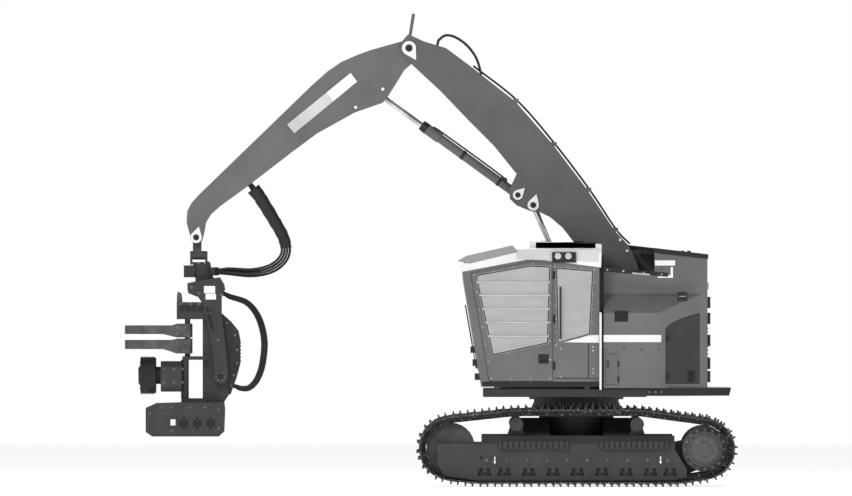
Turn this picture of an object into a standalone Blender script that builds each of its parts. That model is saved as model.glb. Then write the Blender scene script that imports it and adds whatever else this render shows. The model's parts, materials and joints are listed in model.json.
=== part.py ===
"""A tracked forestry harvester: undercarriage, slewing upper frame with cab and engine enclosure,
two-piece arm, and a harvesting head that hangs from the end of the stick.

Metres, +Z up, front of the machine towards -X, its left side towards -Y. Places are machine
coordinates: x from the slewing axis, y from the centre plane, z from the ground. The empty named
harvester carries everything, and puts the middle of the overall length at x = 0.
"""

import math

import bmesh
import bpy
from mathutils import Matrix, Vector

for old in list(bpy.data.objects):
    bpy.data.objects.remove(old, do_unlink=True)

# Clearances
GAP = 0.0003  # between pieces that touch
CLEAR = 0.006  # between pieces that pass each other
BORE_CLEAR = 0.0008  # between a pin and the bore that turns on it

# Whole machine
SLEW_X = 2.1845  # slewing axis, from the middle of the overall length
TRACK_LENGTH = 3.792  # front idler's axle to the sprocket's
TRACK_GAUGE = 2.60  # track centre to track centre
UPPER_WIDTH = 3.00
BOOM_LENGTH = 5.27  # foot pin to stick pin
STICK_LENGTH = 4.27  # boom pin to hanger pin

# Track chain, shoes and wheels
IDLER_X = -1.884
IDLER_Z = 0.5715
IDLER_PIN_RADIUS = 0.435  # of the chain's pins round the idler
SPROCKET_Z = 0.564
SPROCKET_PIN_RADIUS = 0.41
SHOE_PITCH = 0.2163
SHOE_WIDTH = 0.61
SHOE_TOP = 0.045  # outer face of the shoe plate, out from the pins
SHOE_UNDER = 0.018
GROUSER_TIP = 0.094
LINK_HALF = 0.055  # half the height of the chain's links
CHAIN_WIDTH = 0.20
ROLLER_RADIUS = 0.105
ROLLER_COUNT = 9
ROLLER_WIDTH = 0.25
FIRST_ROLLER = 0.5055  # from the idler
LAST_ROLLER = 0.519  # from the sprocket
END_ROLLER_STEP = 0.2925
CARRIER_Z = 0.936
CARRIER_CLEAR = 0.016  # the chain's links bridge the bend over a carrier roller
END_RISE = 0.20  # the chain lifts off past the end rollers in a wider bend
END_REACH = 0.13  # from the end roller to where it starts to lift
CARRIER_FROM_IDLER = 0.98
CARRIER_FROM_SPROCKET = 1.011
FRAME_HALF = 0.19  # half the width of a track frame
PLATE = 0.045  # side plates of the track frames
BEAM_TOP = 0.7665
SHOULDER_TOP = 0.648
BEAM_BOTTOM = 0.38

# Slewing ring and decks
RING_RADIUS = 0.636
RING_FLANGE_RADIUS = 0.707
RING_BOTTOM = 1.167
RING_SPLIT = 1.30
DECK_BOTTOM = 1.3425
DECK_TOP = 1.464
DECK_FRONT = -1.398
DECK_REAR = 1.0362
REAR_DECK_TOP = 1.476
ENCLOSURE_FLOOR = REAR_DECK_TOP + GAP
REAR_DECK_END = 2.3085

# Cab
CAB_WIDTH = 1.05
CAB_WALL = 0.05
CAB_FLOOR = 1.4955
CAB_REAR = 0.333
GLASS = 0.012
GLASS_LAP = 0.03  # how far a pane laps over its opening's edge

# Engine enclosure
ENCLOSURE_FRONT = 0.396
ENCLOSURE_REAR = 1.9515
PANEL = 0.03  # walls and doors with their folded edges
CORNER_START = 1.2195  # where the rear corners start to slant
CORNER_DEPTH = 0.395
SHOULDER_DEPTH = 0.35  # upper walls, in from the lower ones
BEND_Z = 2.601
LEDGE_Z = 2.886
CREASE_Z = 3.40
SLOT_HALF = 0.27  # half the width of the slot that the boom's foot stands in
SLOT_END = 1.27
HOOD_THICK = 0.07

# Arm
BOOM_FOOT = Vector((0.72, 0, 2.40))
BOOM_ANGLE = math.radians(127.8)  # above the rear horizontal
STICK_ANGLE = math.radians(221.64)
BOOM_HALF = 0.20  # half its width
BOOM_FOOT_HALF = 0.215
TOWER_PLATE = 0.04
STICK_HALF = 0.15
FORK_RADIUS = 0.42  # reach of the boom's fork, back from the stick pin
PIN_RADIUS = 0.055
TIP_POST_RADIUS = 0.024
EYE_HALF = 0.075  # half the width of a cylinder's eye
LUG_HALF = 0.11
BARREL_RADIUS = 0.068
GLAND_RADIUS = 0.082
ROD_RADIUS = 0.0425
ROD_CLEAR = 0.0005
BOOM_CYLINDER_BASE = Vector((0.2205, 0, 2.187))

# Head, from the hanger pin down
LINK_HALF_WIDTH = 0.095
CROSS_PIN = Vector((0.039, 0, -0.27))  # from the hanger pin
TILT_PIN = Vector((0.327, 0, -1.815))  # from the cross pin
ROTATOR_LEAN = math.radians(11)
ROTATOR_RADIUS = 0.135
PORT_REACH = 0.245  # from the cross pin back to the hose ports
YOKE_HALF = 0.36
YOKE_PLATE = 0.055
CHASSIS_HALF = 0.22
TILT_PIN_RADIUS = 0.04
KNIFE_POST = Vector((-0.496, 0.26))  # from the tilt pin, forwards and out
KNIFE_POST_RADIUS = 0.038
ARM_POST = Vector((-0.5355, 0.33))
ARM_POST_RADIUS = 0.025
ROLLER_Y = 0.40
MOTOR_HALF = 0.226
MOTOR_CHAMFER = 0.08
FEED_RADIUS = 0.2675
FEED_FRONT = -1.227
FEED_REAR = -0.972
FEED_HUB_REAR = -0.891
FEED_Z = 0.0145
SHELF_BOTTOM = 0.25
SHELF_TOP = 0.30
BLOCK_BOTTOM = 0.858
BLOCK_TOP = 1.113
SAW_TOP = -0.385
SAW_FLOOR = -0.815

ROUND = 20
SMALL_ROUND = 12
WHEEL_ROUND = 28


# Shapes ------------------------------------------------------------------------------------------


def solid_from(bm):
    bmesh.ops.recalc_face_normals(bm, faces=bm.faces)
    mesh = bpy.data.meshes.new("solid")
    bm.to_mesh(mesh)
    bm.free()
    obj = bpy.data.objects.new("solid", mesh)
    bpy.context.scene.collection.objects.link(obj)
    return obj


def between(rings):
    """A closed solid through rings of as many points each, with a flat end at either side."""
    bm = bmesh.new()
    rows = [[bm.verts.new(point) for point in ring] for ring in rings]
    for near, far in zip(rows, rows[1:]):
        for i, start in enumerate(near):
            j = (i + 1) % len(near)
            bm.faces.new((start, near[j], far[j], far[i]))
    bm.faces.new(rows[0])
    bm.faces.new(rows[-1])
    return solid_from(bm)


def prism(outline, axis, low, high):
    """An outline in the two other axes, in x, y, z order, carried along axis from low to high."""
    order = {"x": (2, 0, 1), "y": (0, 2, 1), "z": (0, 1, 2)}[axis]
    rings = []
    for level in (low, high):
        rings.append([[(u, v, level)[i] for i in order] for u, v in outline])
    return between(rings)


def block(x, y, z):
    """A box from three pairs of limits."""
    corners = [(x[0], z[0]), (x[1], z[0]), (x[1], z[1]), (x[0], z[1])]
    return prism(corners, "y", min(y), max(y))


def turned(start, end, stations, sides=ROUND):
    """A round solid on the line from start, through (distance, radius) stations."""
    start = Vector(start)
    along = (Vector(end) - start).normalized()
    across = along.orthogonal().normalized()
    third = along.cross(across)
    rings = []
    for distance, radius in stations:
        centre = start + along * distance
        ring = []
        for i in range(sides):
            angle = 2 * math.pi * (i + 0.5) / sides
            ring.append(centre + (across * math.cos(angle) + third * math.sin(angle)) * radius)
        rings.append(ring)
    return between(rings)


def bar(start, end, radius, sides=ROUND):
    return turned(start, end, [(0, radius), ((Vector(end) - Vector(start)).length, radius)], sides)


def crossbar(centre, half, radius, sides=ROUND):
    """A round bar along y through centre."""
    centre = Vector(centre)
    reach = Vector((0, half, 0))
    return bar(centre - reach, centre + reach, radius, sides)


def arc(centre, radius, first, last, count):
    """Points on an arc in a plane, by angles in degrees."""
    points = []
    for i in range(count):
        angle = math.radians(first + (last - first) * i / (count - 1))
        points.append((centre[0] + radius * math.cos(angle), centre[1] + radius * math.sin(angle)))
    return points


def inset(outline, depth):
    """A plane outline with each side moved in by depth, or out if it is negative."""
    area = 0
    for i, (u, v) in enumerate(outline):
        u2, v2 = outline[(i + 1) % len(outline)]
        area += u * v2 - u2 * v
    inwards = depth if area > 0 else -depth
    lines = []
    for i, start in enumerate(outline):
        a = Vector(start)
        side = (Vector(outline[(i + 1) % len(outline)]) - a).normalized()
        lines.append((a + Vector((-side.y, side.x)) * inwards, side))
    points = []
    for i in range(len(lines)):
        (a, along), (b, next_along) = lines[i - 1], lines[i]
        turn = along.x * next_along.y - along.y * next_along.x
        if abs(turn) < 1e-5:
            points.append(tuple(b))
            continue
        reach = ((b - a).x * next_along.y - (b - a).y * next_along.x) / turn
        points.append(tuple(a + along * reach))
    return points


def shifted(outline, du, dv):
    return [(u + du, v + dv) for u, v in outline]


def combined(target, others, operation):
    """Target with the others joined to it, cut from it or kept in common, which uses them up."""
    for other in others:
        modifier = target.modifiers.new(operation, "BOOLEAN")
        modifier.operation = operation
        modifier.object = other
    depsgraph = bpy.context.evaluated_depsgraph_get()
    mesh = bpy.data.meshes.new_from_object(target.evaluated_get(depsgraph))
    target.modifiers.clear()
    target.data = mesh
    for other in others:
        bpy.data.objects.remove(other)
    return target


def join(target, *others):
    return combined(target, others, "UNION")


def cut(target, *others):
    return combined(target, others, "DIFFERENCE")


def common(target, *others):
    return combined(target, others, "INTERSECT")


def mirrored(obj):
    """A copy on the machine's other side."""
    copy = obj.copy()
    copy.data = obj.data.copy()
    bpy.context.scene.collection.objects.link(copy)
    copy.data.transform(Matrix.Scale(-1, 4, (0, 1, 0)))
    copy.data.flip_normals()
    return copy


def moved(obj, matrix):
    obj.data.transform(matrix)
    return obj


# Materials: base colour, metallic, roughness -------------------------------------------------------

FINISHES = {
    "arm_paint": ((0.10, 0.10, 0.10), 0.0, 0.45),
    "panel_paint": ((0.155, 0.155, 0.155), 0.0, 0.40),
    "dark_paint": ((0.028, 0.028, 0.028), 0.0, 0.50),
    "frame_paint": ((0.085, 0.085, 0.085), 0.0, 0.50),
    "white_paint": ((0.80, 0.80, 0.80), 0.0, 0.40),
    "black_paint": ((0.012, 0.012, 0.012), 0.0, 0.50),
    "head_paint": ((0.09, 0.09, 0.09), 0.0, 0.50),
    "track_steel": ((0.09, 0.09, 0.09), 0.7, 0.55),
    "steel": ((0.30, 0.30, 0.30), 0.9, 0.35),
    "chrome": ((0.60, 0.60, 0.60), 1.0, 0.15),
    "cast_iron": ((0.06, 0.06, 0.06), 0.3, 0.60),
    "window": ((0.70, 0.74, 0.76), 0.0, 0.10),
    "seat_fabric": ((0.03, 0.03, 0.03), 0.0, 0.90),
    "trim_plastic": ((0.05, 0.05, 0.05), 0.0, 0.60),
    "hose_rubber": ((0.015, 0.015, 0.015), 0.0, 0.60),
}


def material(name):
    found = bpy.data.materials.get(name)
    if found:
        return found
    colour, metallic, roughness = FINISHES[name]
    made = bpy.data.materials.new(name)
    made.use_nodes = True
    shader = made.node_tree.nodes["Principled BSDF"]
    shader.inputs["Base Color"].default_value = (*colour, 1)
    shader.inputs["Metallic"].default_value = metallic
    shader.inputs["Roughness"].default_value = roughness
    made.diffuse_color = (*colour, 1)
    return made


# Bodies ------------------------------------------------------------------------------------------

BODIES = {}


def body(name, pivot, parent=None):
    """An empty on the joint's axis, which carries the pieces that move together."""
    empty = bpy.data.objects.new("body_" + name, None)
    bpy.context.scene.collection.objects.link(empty)
    empty.empty_display_size = 0.2
    carrier, origin = BODIES[parent] if parent else (HARVESTER, Vector())
    empty.parent = carrier
    empty.location = Vector(pivot) - origin
    BODIES[name] = (empty, Vector(pivot))


def piece(name, obj, owner, finish):
    """Names the solid and hands it to its body, with its own material."""
    empty, pivot = BODIES[owner]
    obj.name = name
    obj.data.name = name
    obj.data.transform(Matrix.Translation(-pivot))
    obj.parent = empty
    obj.data.materials.clear()
    obj.data.materials.append(material(finish))
    obj.data.shade_smooth()
    obj.data.set_sharp_from_angle(angle=math.radians(32))
    return obj


HARVESTER = bpy.data.objects.new("harvester", None)
bpy.context.scene.collection.objects.link(HARVESTER)
HARVESTER.location = (SLEW_X, 0, 0)


# Places that follow from the sizes ---------------------------------------------------------------

SPROCKET_X = IDLER_X + TRACK_LENGTH
TRACK_Y = TRACK_GAUGE / 2
SIDE_Y = UPPER_WIDTH / 2
CAB_LEFT = -SIDE_Y
CAB_RIGHT = CAB_LEFT + CAB_WIDTH


def heading(angle):
    return Vector((math.cos(angle), 0, math.sin(angle)))


def under(angle):
    """The square direction on the arm's underside."""
    return Vector((-math.sin(angle), 0, math.cos(angle)))


BOOM_TIP = BOOM_FOOT + heading(BOOM_ANGLE) * BOOM_LENGTH
STICK_END = BOOM_TIP + heading(STICK_ANGLE) * STICK_LENGTH
CROSS = STICK_END + CROSS_PIN
TILT = CROSS + TILT_PIN
ROTATOR_DOWN = Vector((math.sin(ROTATOR_LEAN), 0, -math.cos(ROTATOR_LEAN)))
ROTATOR_TOP = CROSS + Vector((0.035, 0, -0.10))
ROTATOR_HEIGHT = 0.262


def on_boom(station, offset, from_tip=False):
    """A point by its distance along the boom's pin line and its offset to the underside."""
    origin = BOOM_TIP if from_tip else BOOM_FOOT
    return origin + heading(BOOM_ANGLE) * station + under(BOOM_ANGLE) * offset


def on_stick(station, offset, from_tip=False):
    origin = STICK_END if from_tip else BOOM_TIP
    return origin + heading(STICK_ANGLE) * station + under(STICK_ANGLE) * offset


def flat(points):
    return [(point.x, point.z) for point in points]


STICK_CYLINDER_BASE = on_boom(2.53, 0.06)
BOOM_CYLINDER_PIN = on_boom(2.27, -0.03)
STICK_CYLINDER_PIN = on_stick(0.80, 0.18)

body("undercarriage", (0, 0, 0))
body("upper", (0, 0, RING_SPLIT), "undercarriage")
body("boom", BOOM_FOOT, "upper")
body("boom_barrel", BOOM_CYLINDER_BASE, "upper")
body("boom_rod", BOOM_CYLINDER_PIN, "boom_barrel")
body("stick", BOOM_TIP, "boom")
body("stick_barrel", STICK_CYLINDER_BASE, "boom")
body("stick_rod", STICK_CYLINDER_PIN, "stick_barrel")
body("link", STICK_END, "stick")
body("rotator", CROSS, "link")
body("tilt_frame", ROTATOR_TOP + ROTATOR_DOWN * ROTATOR_HEIGHT, "rotator")
body("head", TILT, "tilt_frame")


# Undercarriage -----------------------------------------------------------------------------------


def belt(wheels):
    """Points of a belt round wheels, (x, z, radius) in clockwise order, closely spaced."""
    pieces = []
    for i, (x, z, radius) in enumerate(wheels):
        x2, z2, radius2 = wheels[(i + 1) % len(wheels)]
        gap = Vector((x2 - x, z2 - z))
        lean = math.asin((radius - radius2) / gap.length)
        pieces.append(math.degrees(math.atan2(gap.y, gap.x) + math.pi / 2 - lean))
    points = []
    for i, (x, z, radius) in enumerate(wheels):
        first, last = pieces[i - 1], pieces[i]
        while last > first:
            last -= 360
        while last < first - 360:
            last += 360
        points += arc((x, z), radius, first, last, 40)
    return points


def evenly(points, pitch):
    """As many points as whole pitches fit, evenly spaced round a closed line."""
    closed = [Vector(p) for p in points] + [Vector(points[0])]
    length = sum((b - a).length for a, b in zip(closed, closed[1:]))
    step = length / round(length / pitch)
    result, travelled, target = [], 0, 0
    for a, b in zip(closed, closed[1:]):
        side = (b - a).length
        while side and target <= travelled + side - 1e-9:
            result.append(a.lerp(b, (target - travelled) / side))
            target += step
        travelled += side
    return result[: round(length / pitch)]


def roller_places():
    first = IDLER_X + FIRST_ROLLER
    last = SPROCKET_X - LAST_ROLLER
    inner = ROLLER_COUNT - 3
    step = (last - first - 2 * END_ROLLER_STEP) / inner
    places = [first]
    places += [first + END_ROLLER_STEP + step * i for i in range(inner + 1)]
    return places + [last]


ROLLERS = roller_places()
ROLLER_Z = GROUSER_TIP + LINK_HALF + ROLLER_RADIUS
CARRIERS = (IDLER_X + CARRIER_FROM_IDLER, SPROCKET_X - CARRIER_FROM_SPROCKET)
PINS = evenly(
    belt(
        [
            (IDLER_X, IDLER_Z, IDLER_PIN_RADIUS),
            (CARRIERS[0], CARRIER_Z, ROLLER_RADIUS + LINK_HALF + CARRIER_CLEAR),
            (CARRIERS[1], CARRIER_Z, ROLLER_RADIUS + LINK_HALF + CARRIER_CLEAR),
            (SPROCKET_X, SPROCKET_Z, SPROCKET_PIN_RADIUS),
            (ROLLERS[-1] + END_REACH, ROLLER_Z + END_RISE, ROLLER_RADIUS + LINK_HALF + END_RISE),
            (ROLLERS[0] - END_REACH, ROLLER_Z + END_RISE, ROLLER_RADIUS + LINK_HALF + END_RISE),
        ]
    ),
    SHOE_PITCH,
)

# Half of a shoe's pitch is 1; each grouser is (middle, half its foot, half its tip).
GROUSERS = ((-0.48, 0.16, 0.08), (0.48, 0.16, 0.08))
SHOE_END = 0.96


def shoe_line():
    """The track's outer outline: a plate with two grousers on each link."""
    points = []
    for i, start in enumerate(PINS):
        end = PINS[(i + 1) % len(PINS)]
        middle = (start + end) / 2
        along = (end - start) / 2
        out = Vector((-along.y, along.x)).normalized()
        profile = [(-SHOE_END, SHOE_TOP)]
        for centre, foot, tip in GROUSERS:
            profile += [(centre - foot, SHOE_TOP), (centre - tip, GROUSER_TIP)]
            profile += [(centre + tip, GROUSER_TIP), (centre + foot, SHOE_TOP)]
        profile.append((SHOE_END, SHOE_TOP))
        points += [tuple(middle + along * u + out * v) for u, v in profile]
    return points


def chain_line(height):
    """The pins' polygon, moved out by height."""
    return inset([tuple(pin) for pin in PINS], -height)


def loop(outer, inner, y, half):
    ring = prism(outer, "y", y - half, y + half)
    return cut(ring, prism(inner, "y", y - half - 0.1, y + half + 0.1))


def track(y):
    shoes = loop(shoe_line(), chain_line(SHOE_UNDER), y, SHOE_WIDTH / 2)
    chain = loop(chain_line(SHOE_UNDER + 0.01), chain_line(-LINK_HALF), y, CHAIN_WIDTH / 2)
    return join(shoes, chain)


def side_plate_outline():
    rear = SPROCKET_X
    return [
        (IDLER_X - 0.205, SHOULDER_TOP),
        (IDLER_X - 0.205, 0.36),
        (IDLER_X - 0.106, 0.165),
        (IDLER_X + 0.43, 0.0915),
        (rear - 0.47, 0.099),
        (rear - 0.272, 0.1425),
        (rear - 0.272, 0.2715),
        (rear - 0.453, 0.564),
        (rear - 0.453, SHOULDER_TOP),
    ]


def track_frame(y):
    """Beam, side plates, rollers and carrier rollers of one track, for the right side."""
    inner, outer = y - FRAME_HALF, y + FRAME_HALF
    section = [
        (inner, BEAM_BOTTOM),
        (outer, BEAM_BOTTOM),
        (outer, SHOULDER_TOP),
        (outer - 0.10, BEAM_TOP),
        (inner + 0.10, BEAM_TOP),
        (inner, SHOULDER_TOP),
    ]
    beam_front = IDLER_X + IDLER_PIN_RADIUS + 0.03
    beam_rear = SPROCKET_X - 0.453
    frame = prism(section, "x", beam_front, beam_rear)
    outer_plate = prism(side_plate_outline(), "y", outer - PLATE, outer)
    holes = []
    for x in ROLLERS:
        holes.append(block((x - 0.06, x + 0.06), (outer - 0.08, outer + 0.08), (0.412, 0.460)))
        feet = [(x - 0.10, 0.172), (x + 0.10, 0.172), (x + 0.075, 0.286), (x - 0.075, 0.286)]
        holes.append(prism(feet, "y", outer - 0.08, outer + 0.08))
    outer_plate = cut(outer_plate, *holes)
    inner_outline = side_plate_outline()[:5]
    inner_outline += [
        (SPROCKET_X + 0.10, 0.34),
        (SPROCKET_X + 0.16, 0.62),
        (SPROCKET_X, 0.74),
        (SPROCKET_X - 0.453, SHOULDER_TOP),
    ]
    inner_plate = prism(inner_outline, "y", inner, inner + PLATE)
    parts = [outer_plate, inner_plate]
    for x in ROLLERS:
        tread = ROLLER_RADIUS - 2 * GAP
        stations = [
            (0, 0.035),
            (FRAME_HALF - ROLLER_WIDTH / 2, 0.035),
            (FRAME_HALF - ROLLER_WIDTH / 2, tread),
            (FRAME_HALF + ROLLER_WIDTH / 2, tread),
            (FRAME_HALF + ROLLER_WIDTH / 2, 0.035),
            (2 * FRAME_HALF - 0.01, 0.035),
        ]
        start = Vector((x, inner + 0.005, ROLLER_Z))
        parts.append(turned(start, start + Vector((0, 1, 0)), stations, SMALL_ROUND))
    for x in CARRIERS:
        low = BEAM_TOP - 0.05
        foot = [(x - 0.14, low), (x + 0.14, low), (x + 0.05, CARRIER_Z + 0.05), (x - 0.05, CARRIER_Z + 0.05)]
        parts.append(prism(foot, "y", inner + 0.10, inner + 0.14))
        start = Vector((x, inner + 0.12, CARRIER_Z))
        tread = ROLLER_RADIUS - 2 * GAP
        parts.append(bar(start, start + Vector((0, 0.22, 0)), tread, SMALL_ROUND))
    # Step boxes along the outside
    for start, end in ((IDLER_X + 0.715, -0.1365), (0.345, SPROCKET_X - 0.5565)):
        parts.append(block((start, end), (outer - 0.01, outer + 0.07), (0.573, 0.6795)))
    return join(frame, *parts)


def idler(y):
    """The front wheel, on an axle between the frame's side plates."""
    rim = math.sqrt(IDLER_PIN_RADIUS**2 - (SHOE_PITCH / 2) ** 2) - LINK_HALF - 0.002
    axle = FRAME_HALF - PLATE - GAP
    stations = [
        (0, 0.07),
        (axle - 0.09, 0.07),
        (axle - 0.09, rim - 0.05),
        (axle - 0.08, rim),
        (axle + 0.08, rim),
        (axle + 0.09, rim - 0.05),
        (axle + 0.09, 0.07),
        (2 * axle, 0.07),
    ]
    start = Vector((IDLER_X, y - axle, IDLER_Z))
    return turned(start, start + Vector((0, 1, 0)), stations, WHEEL_ROUND)


def final_drive(y):
    """Sprocket and hub, on the frame's inner side plate."""
    sprocket = math.sqrt(SPROCKET_PIN_RADIUS**2 - (SHOE_PITCH / 2) ** 2) - LINK_HALF - 0.002
    inner = FRAME_HALF - PLATE - GAP
    stations = [
        (0, 0.20),
        (inner - 0.05, 0.24),
        (inner - 0.04, sprocket),
        (inner + 0.04, sprocket),
        (inner + 0.05, 0.27),
        (inner + 0.14, 0.27),
        (inner + 0.155, 0.207),
        (inner + 0.20, 0.207),
        (inner + 0.215, 0.17),
    ]
    start = Vector((SPROCKET_X, y - inner, SPROCKET_Z))
    return turned(start, start + Vector((0, 1, 0)), stations, WHEEL_ROUND)


def carbody():
    """The centre frame: a drum under the slewing ring, and two legs to each track frame."""
    reach = TRACK_Y - FRAME_HALF - GAP
    drum = turned((0, 0, 0.56), (0, 0, 2), [(0, 0.56), (RING_BOTTOM - 0.56, 0.56)], WHEEL_ROUND)
    ring_height = RING_SPLIT - GAP - RING_BOTTOM + 0.02
    ring = turned((0, 0, RING_BOTTOM - 0.02), (0, 0, 2), [(0, RING_RADIUS), (ring_height, RING_RADIUS)], 36)
    parts = [ring]
    for near, far in ((-0.84, -0.40), (0.40, 0.80)):
        leg = [(-reach, 0.56), (reach, 0.56), (reach, 0.80), (0.60, 1.017), (-0.60, 1.017), (-reach, 0.80)]
        parts.append(prism(leg, "x", near, far))
    parts.append(block((-0.6, 0.6), (-0.62, 0.62), (0.60, 0.76)))
    return join(drum, *parts)


piece("carbody", carbody(), "undercarriage", "frame_paint")
for maker, name, finish in (
    (track_frame, "track_frame", "frame_paint"),
    (track, "track", "track_steel"),
    (idler, "idler", "cast_iron"),
    (final_drive, "final_drive", "frame_paint"),
):
    right = maker(TRACK_Y)
    piece(name + "_left", mirrored(right), "undercarriage", finish)
    piece(name + "_right", right, "undercarriage", finish)


# Main frame, rear deck and tank ------------------------------------------------------------------


def main_frame():
    """Deck plate on the slewing ring's flange, with the tower that the boom's foot stands in."""
    deck = block((DECK_FRONT, DECK_REAR), (-SIDE_Y + 0.05, SIDE_Y - 0.05), (DECK_BOTTOM, DECK_TOP))
    flange = turned((0, 0, RING_SPLIT), (0, 0, 2), [(0, RING_FLANGE_RADIUS), (0.10, RING_FLANGE_RADIUS)], 36)
    foot = (BOOM_FOOT.x, BOOM_FOOT.z)
    base = (BOOM_CYLINDER_BASE.x, BOOM_CYLINDER_BASE.z)
    low = DECK_TOP - 0.05
    side = [(base[0] - 0.35, low), (foot[0] + 0.30, low), (foot[0] + 0.30, 1.9)]
    side += arc(foot, 0.20, 0, 110, 6)
    side += arc(base, 0.13, 70, 190, 6)
    parts = [flange]
    for sign in (-1, 1):
        near = sign * (BOOM_FOOT_HALF + GAP)
        far = near + sign * TOWER_PLATE
        parts.append(prism(side, "y", min(near, far), max(near, far)))
    parts.append(crossbar(BOOM_FOOT, BOOM_FOOT_HALF + TOWER_PLATE, PIN_RADIUS))
    parts.append(crossbar(BOOM_CYLINDER_BASE, BOOM_FOOT_HALF + TOWER_PLATE, 0.045))
    half = BOOM_FOOT_HALF + 0.02
    parts.append(block((foot[0] - 0.1, foot[0] + 0.28), (-half, half), (low, 1.80)))
    # Spacer collars that centre the boom cylinder's eye between the tower plates
    for sign in (-1, 1):
        near = Vector((0, sign * (EYE_HALF + GAP), 0))
        far = Vector((0, sign * (BOOM_FOOT_HALF + 0.01), 0))
        parts.append(bar(BOOM_CYLINDER_BASE + near, BOOM_CYLINDER_BASE + far, 0.075, SMALL_ROUND))
    return join(deck, *parts)


def rear_deck():
    """The heavy rear deck plate, whose corners follow the enclosure's and whose end slants."""
    half = SIDE_Y - 0.05
    start = DECK_REAR + GAP
    plan = [
        (start, -half),
        (CORNER_START + 0.22, -half),
        (REAR_DECK_END, -half + 0.55),
        (REAR_DECK_END, half - 0.55),
        (CORNER_START + 0.22, half),
        (start, half),
    ]
    side = [
        (start, DECK_BOTTOM + 0.0165),
        (REAR_DECK_END - 0.03, DECK_BOTTOM + 0.0165),
        (REAR_DECK_END, REAR_DECK_TOP),
        (start, REAR_DECK_TOP),
    ]
    return common(prism(plan, "z", 1.2, 1.6), prism(side, "y", -2, 2))


def side_tank():
    """Fuel and hydraulic tank on the right, opposite the cab."""
    side = [(-1.20, 0), (CAB_REAR, 0), (CAB_REAR, 1.0), (-0.95, 1.0), (-1.20, 0.75)]
    return prism(shifted(side, 0, DECK_TOP + GAP), "y", 0.45, SIDE_Y - 0.05)


piece("main_frame", main_frame(), "upper", "dark_paint")
piece("rear_deck", rear_deck(), "upper", "black_paint")
piece("side_tank", side_tank(), "upper", "panel_paint")


# Engine enclosure --------------------------------------------------------------------------------

ROOF_FRONT = (0.76, 3.545)  # underside of the hood
ROOF_REAR = (ENCLOSURE_REAR, 3.405)
STEP_FRONT = (ENCLOSURE_FRONT, 3.276)  # top of the walkway beside the boom
STEP_REAR = (1.356, 3.138)
WALKWAY_END = 1.16


def line_z(start, end, x):
    return start[1] + (end[1] - start[1]) * (x - start[0]) / (end[0] - start[0])


def enclosure_plan(depth=0.0):
    plan = [
        (ENCLOSURE_FRONT, -SIDE_Y),
        (CORNER_START, -SIDE_Y),
        (ENCLOSURE_REAR, -SIDE_Y + CORNER_DEPTH),
        (ENCLOSURE_REAR, SIDE_Y - CORNER_DEPTH),
        (CORNER_START, SIDE_Y),
        (ENCLOSURE_FRONT, SIDE_Y),
    ]
    return inset(plan, depth)


def enclosure_section(floor, top):
    upper = SIDE_Y - SHOULDER_DEPTH
    half = [(SIDE_Y, floor), (SIDE_Y, BEND_Z), (upper, LEDGE_Z), (upper, CREASE_Z), (upper - 0.04, top)]
    return half + [(-y, z) for y, z in reversed(half)]


def enclosure_body(depth, floor, top):
    """The enclosure's solid, with each side moved in by depth."""
    body_solid = prism(enclosure_plan(depth), "z", floor, top)
    section = prism(inset(enclosure_section(floor - depth, top + depth), depth), "x", 0, 3)
    body_solid = common(body_solid, section)
    slot = block((0, SLOT_END + depth), (-SLOT_HALF - depth, SLOT_HALF + depth), (0, 5))
    walkway = [
        (0, line_z(STEP_FRONT, STEP_REAR, 0) - depth),
        (WALKWAY_END + depth, line_z(STEP_FRONT, STEP_REAR, WALKWAY_END) - depth),
        (WALKWAY_END + depth, 5),
        (0, 5),
    ]
    left_step = prism(walkway, "y", -2, 0)
    right_step = [(0, STEP_FRONT[1] - depth), (ROOF_FRONT[0] + depth, STEP_FRONT[1] - depth)]
    right_step += [(ROOF_FRONT[0] + depth, 5), (0, 5)]
    return cut(body_solid, slot, left_step, prism(right_step, "y", 0, 2))


def above_roof(z):
    """All that lies above the hood's underside, moved up by z."""
    rise = line_z(ROOF_FRONT, ROOF_REAR, 0)
    fall = line_z(ROOF_FRONT, ROOF_REAR, 3)
    return prism([(0, rise + z), (3, fall + z), (3, 6), (0, 6)], "y", -3, 3)


CORNER_ANGLE = math.atan2(CORNER_DEPTH, ENCLOSURE_REAR - CORNER_START)
CORNER_PLACE = Matrix.Translation((CORNER_START, -SIDE_Y, 0)) @ Matrix.Rotation(CORNER_ANGLE, 4, "Z")
SERVICE_DOOR = [(0.42, 1.53), (0.6165, 1.53), (0.6165, 1.96), (0.59, 1.99), (0.42, 1.99)]
CORNER_DOOR = [(0.1125, 1.54), (0.7005, 1.54), (0.7005, 2.60), (0.393, 2.52), (0.20, 2.44), (0.1125, 2.36)]
REAR_DOOR = [(-0.80, 1.56), (0.80, 1.56), (0.80, 2.86), (-0.80, 2.86)]


LEAF = 0.010  # thickness of a door's hinge leaves
LEAF_REACH = 0.035  # how far a leaf lies on the door


def service_door(gap, low, high):
    return prism(inset(SERVICE_DOOR, gap), "y", -SIDE_Y + low, -SIDE_Y + high)


def corner_door(gap, low, high):
    """Of the slanted rear corner on the left, from the outer face inwards, still to be turned."""
    return prism(inset(CORNER_DOOR, gap), "y", low, high)


def rear_door(gap, low, high):
    return prism(inset(REAR_DOOR, gap), "x", ENCLOSURE_REAR - high, ENCLOSURE_REAR - low)


def hinged(door, leaves, places):
    """A door with two hinge leaves, which reach over its gap to its opening's edge."""
    parts = [common(leaf, place) for leaf, place in zip(leaves, places)]
    return join(door, *parts)


def edge_places(x, rows):
    """Where hinge leaves lie along an upright edge at x."""
    return [block((x - LEAF_REACH, x + LEAF_REACH), (-5, 5), (z, z + 0.10)) for z in rows]


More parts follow.
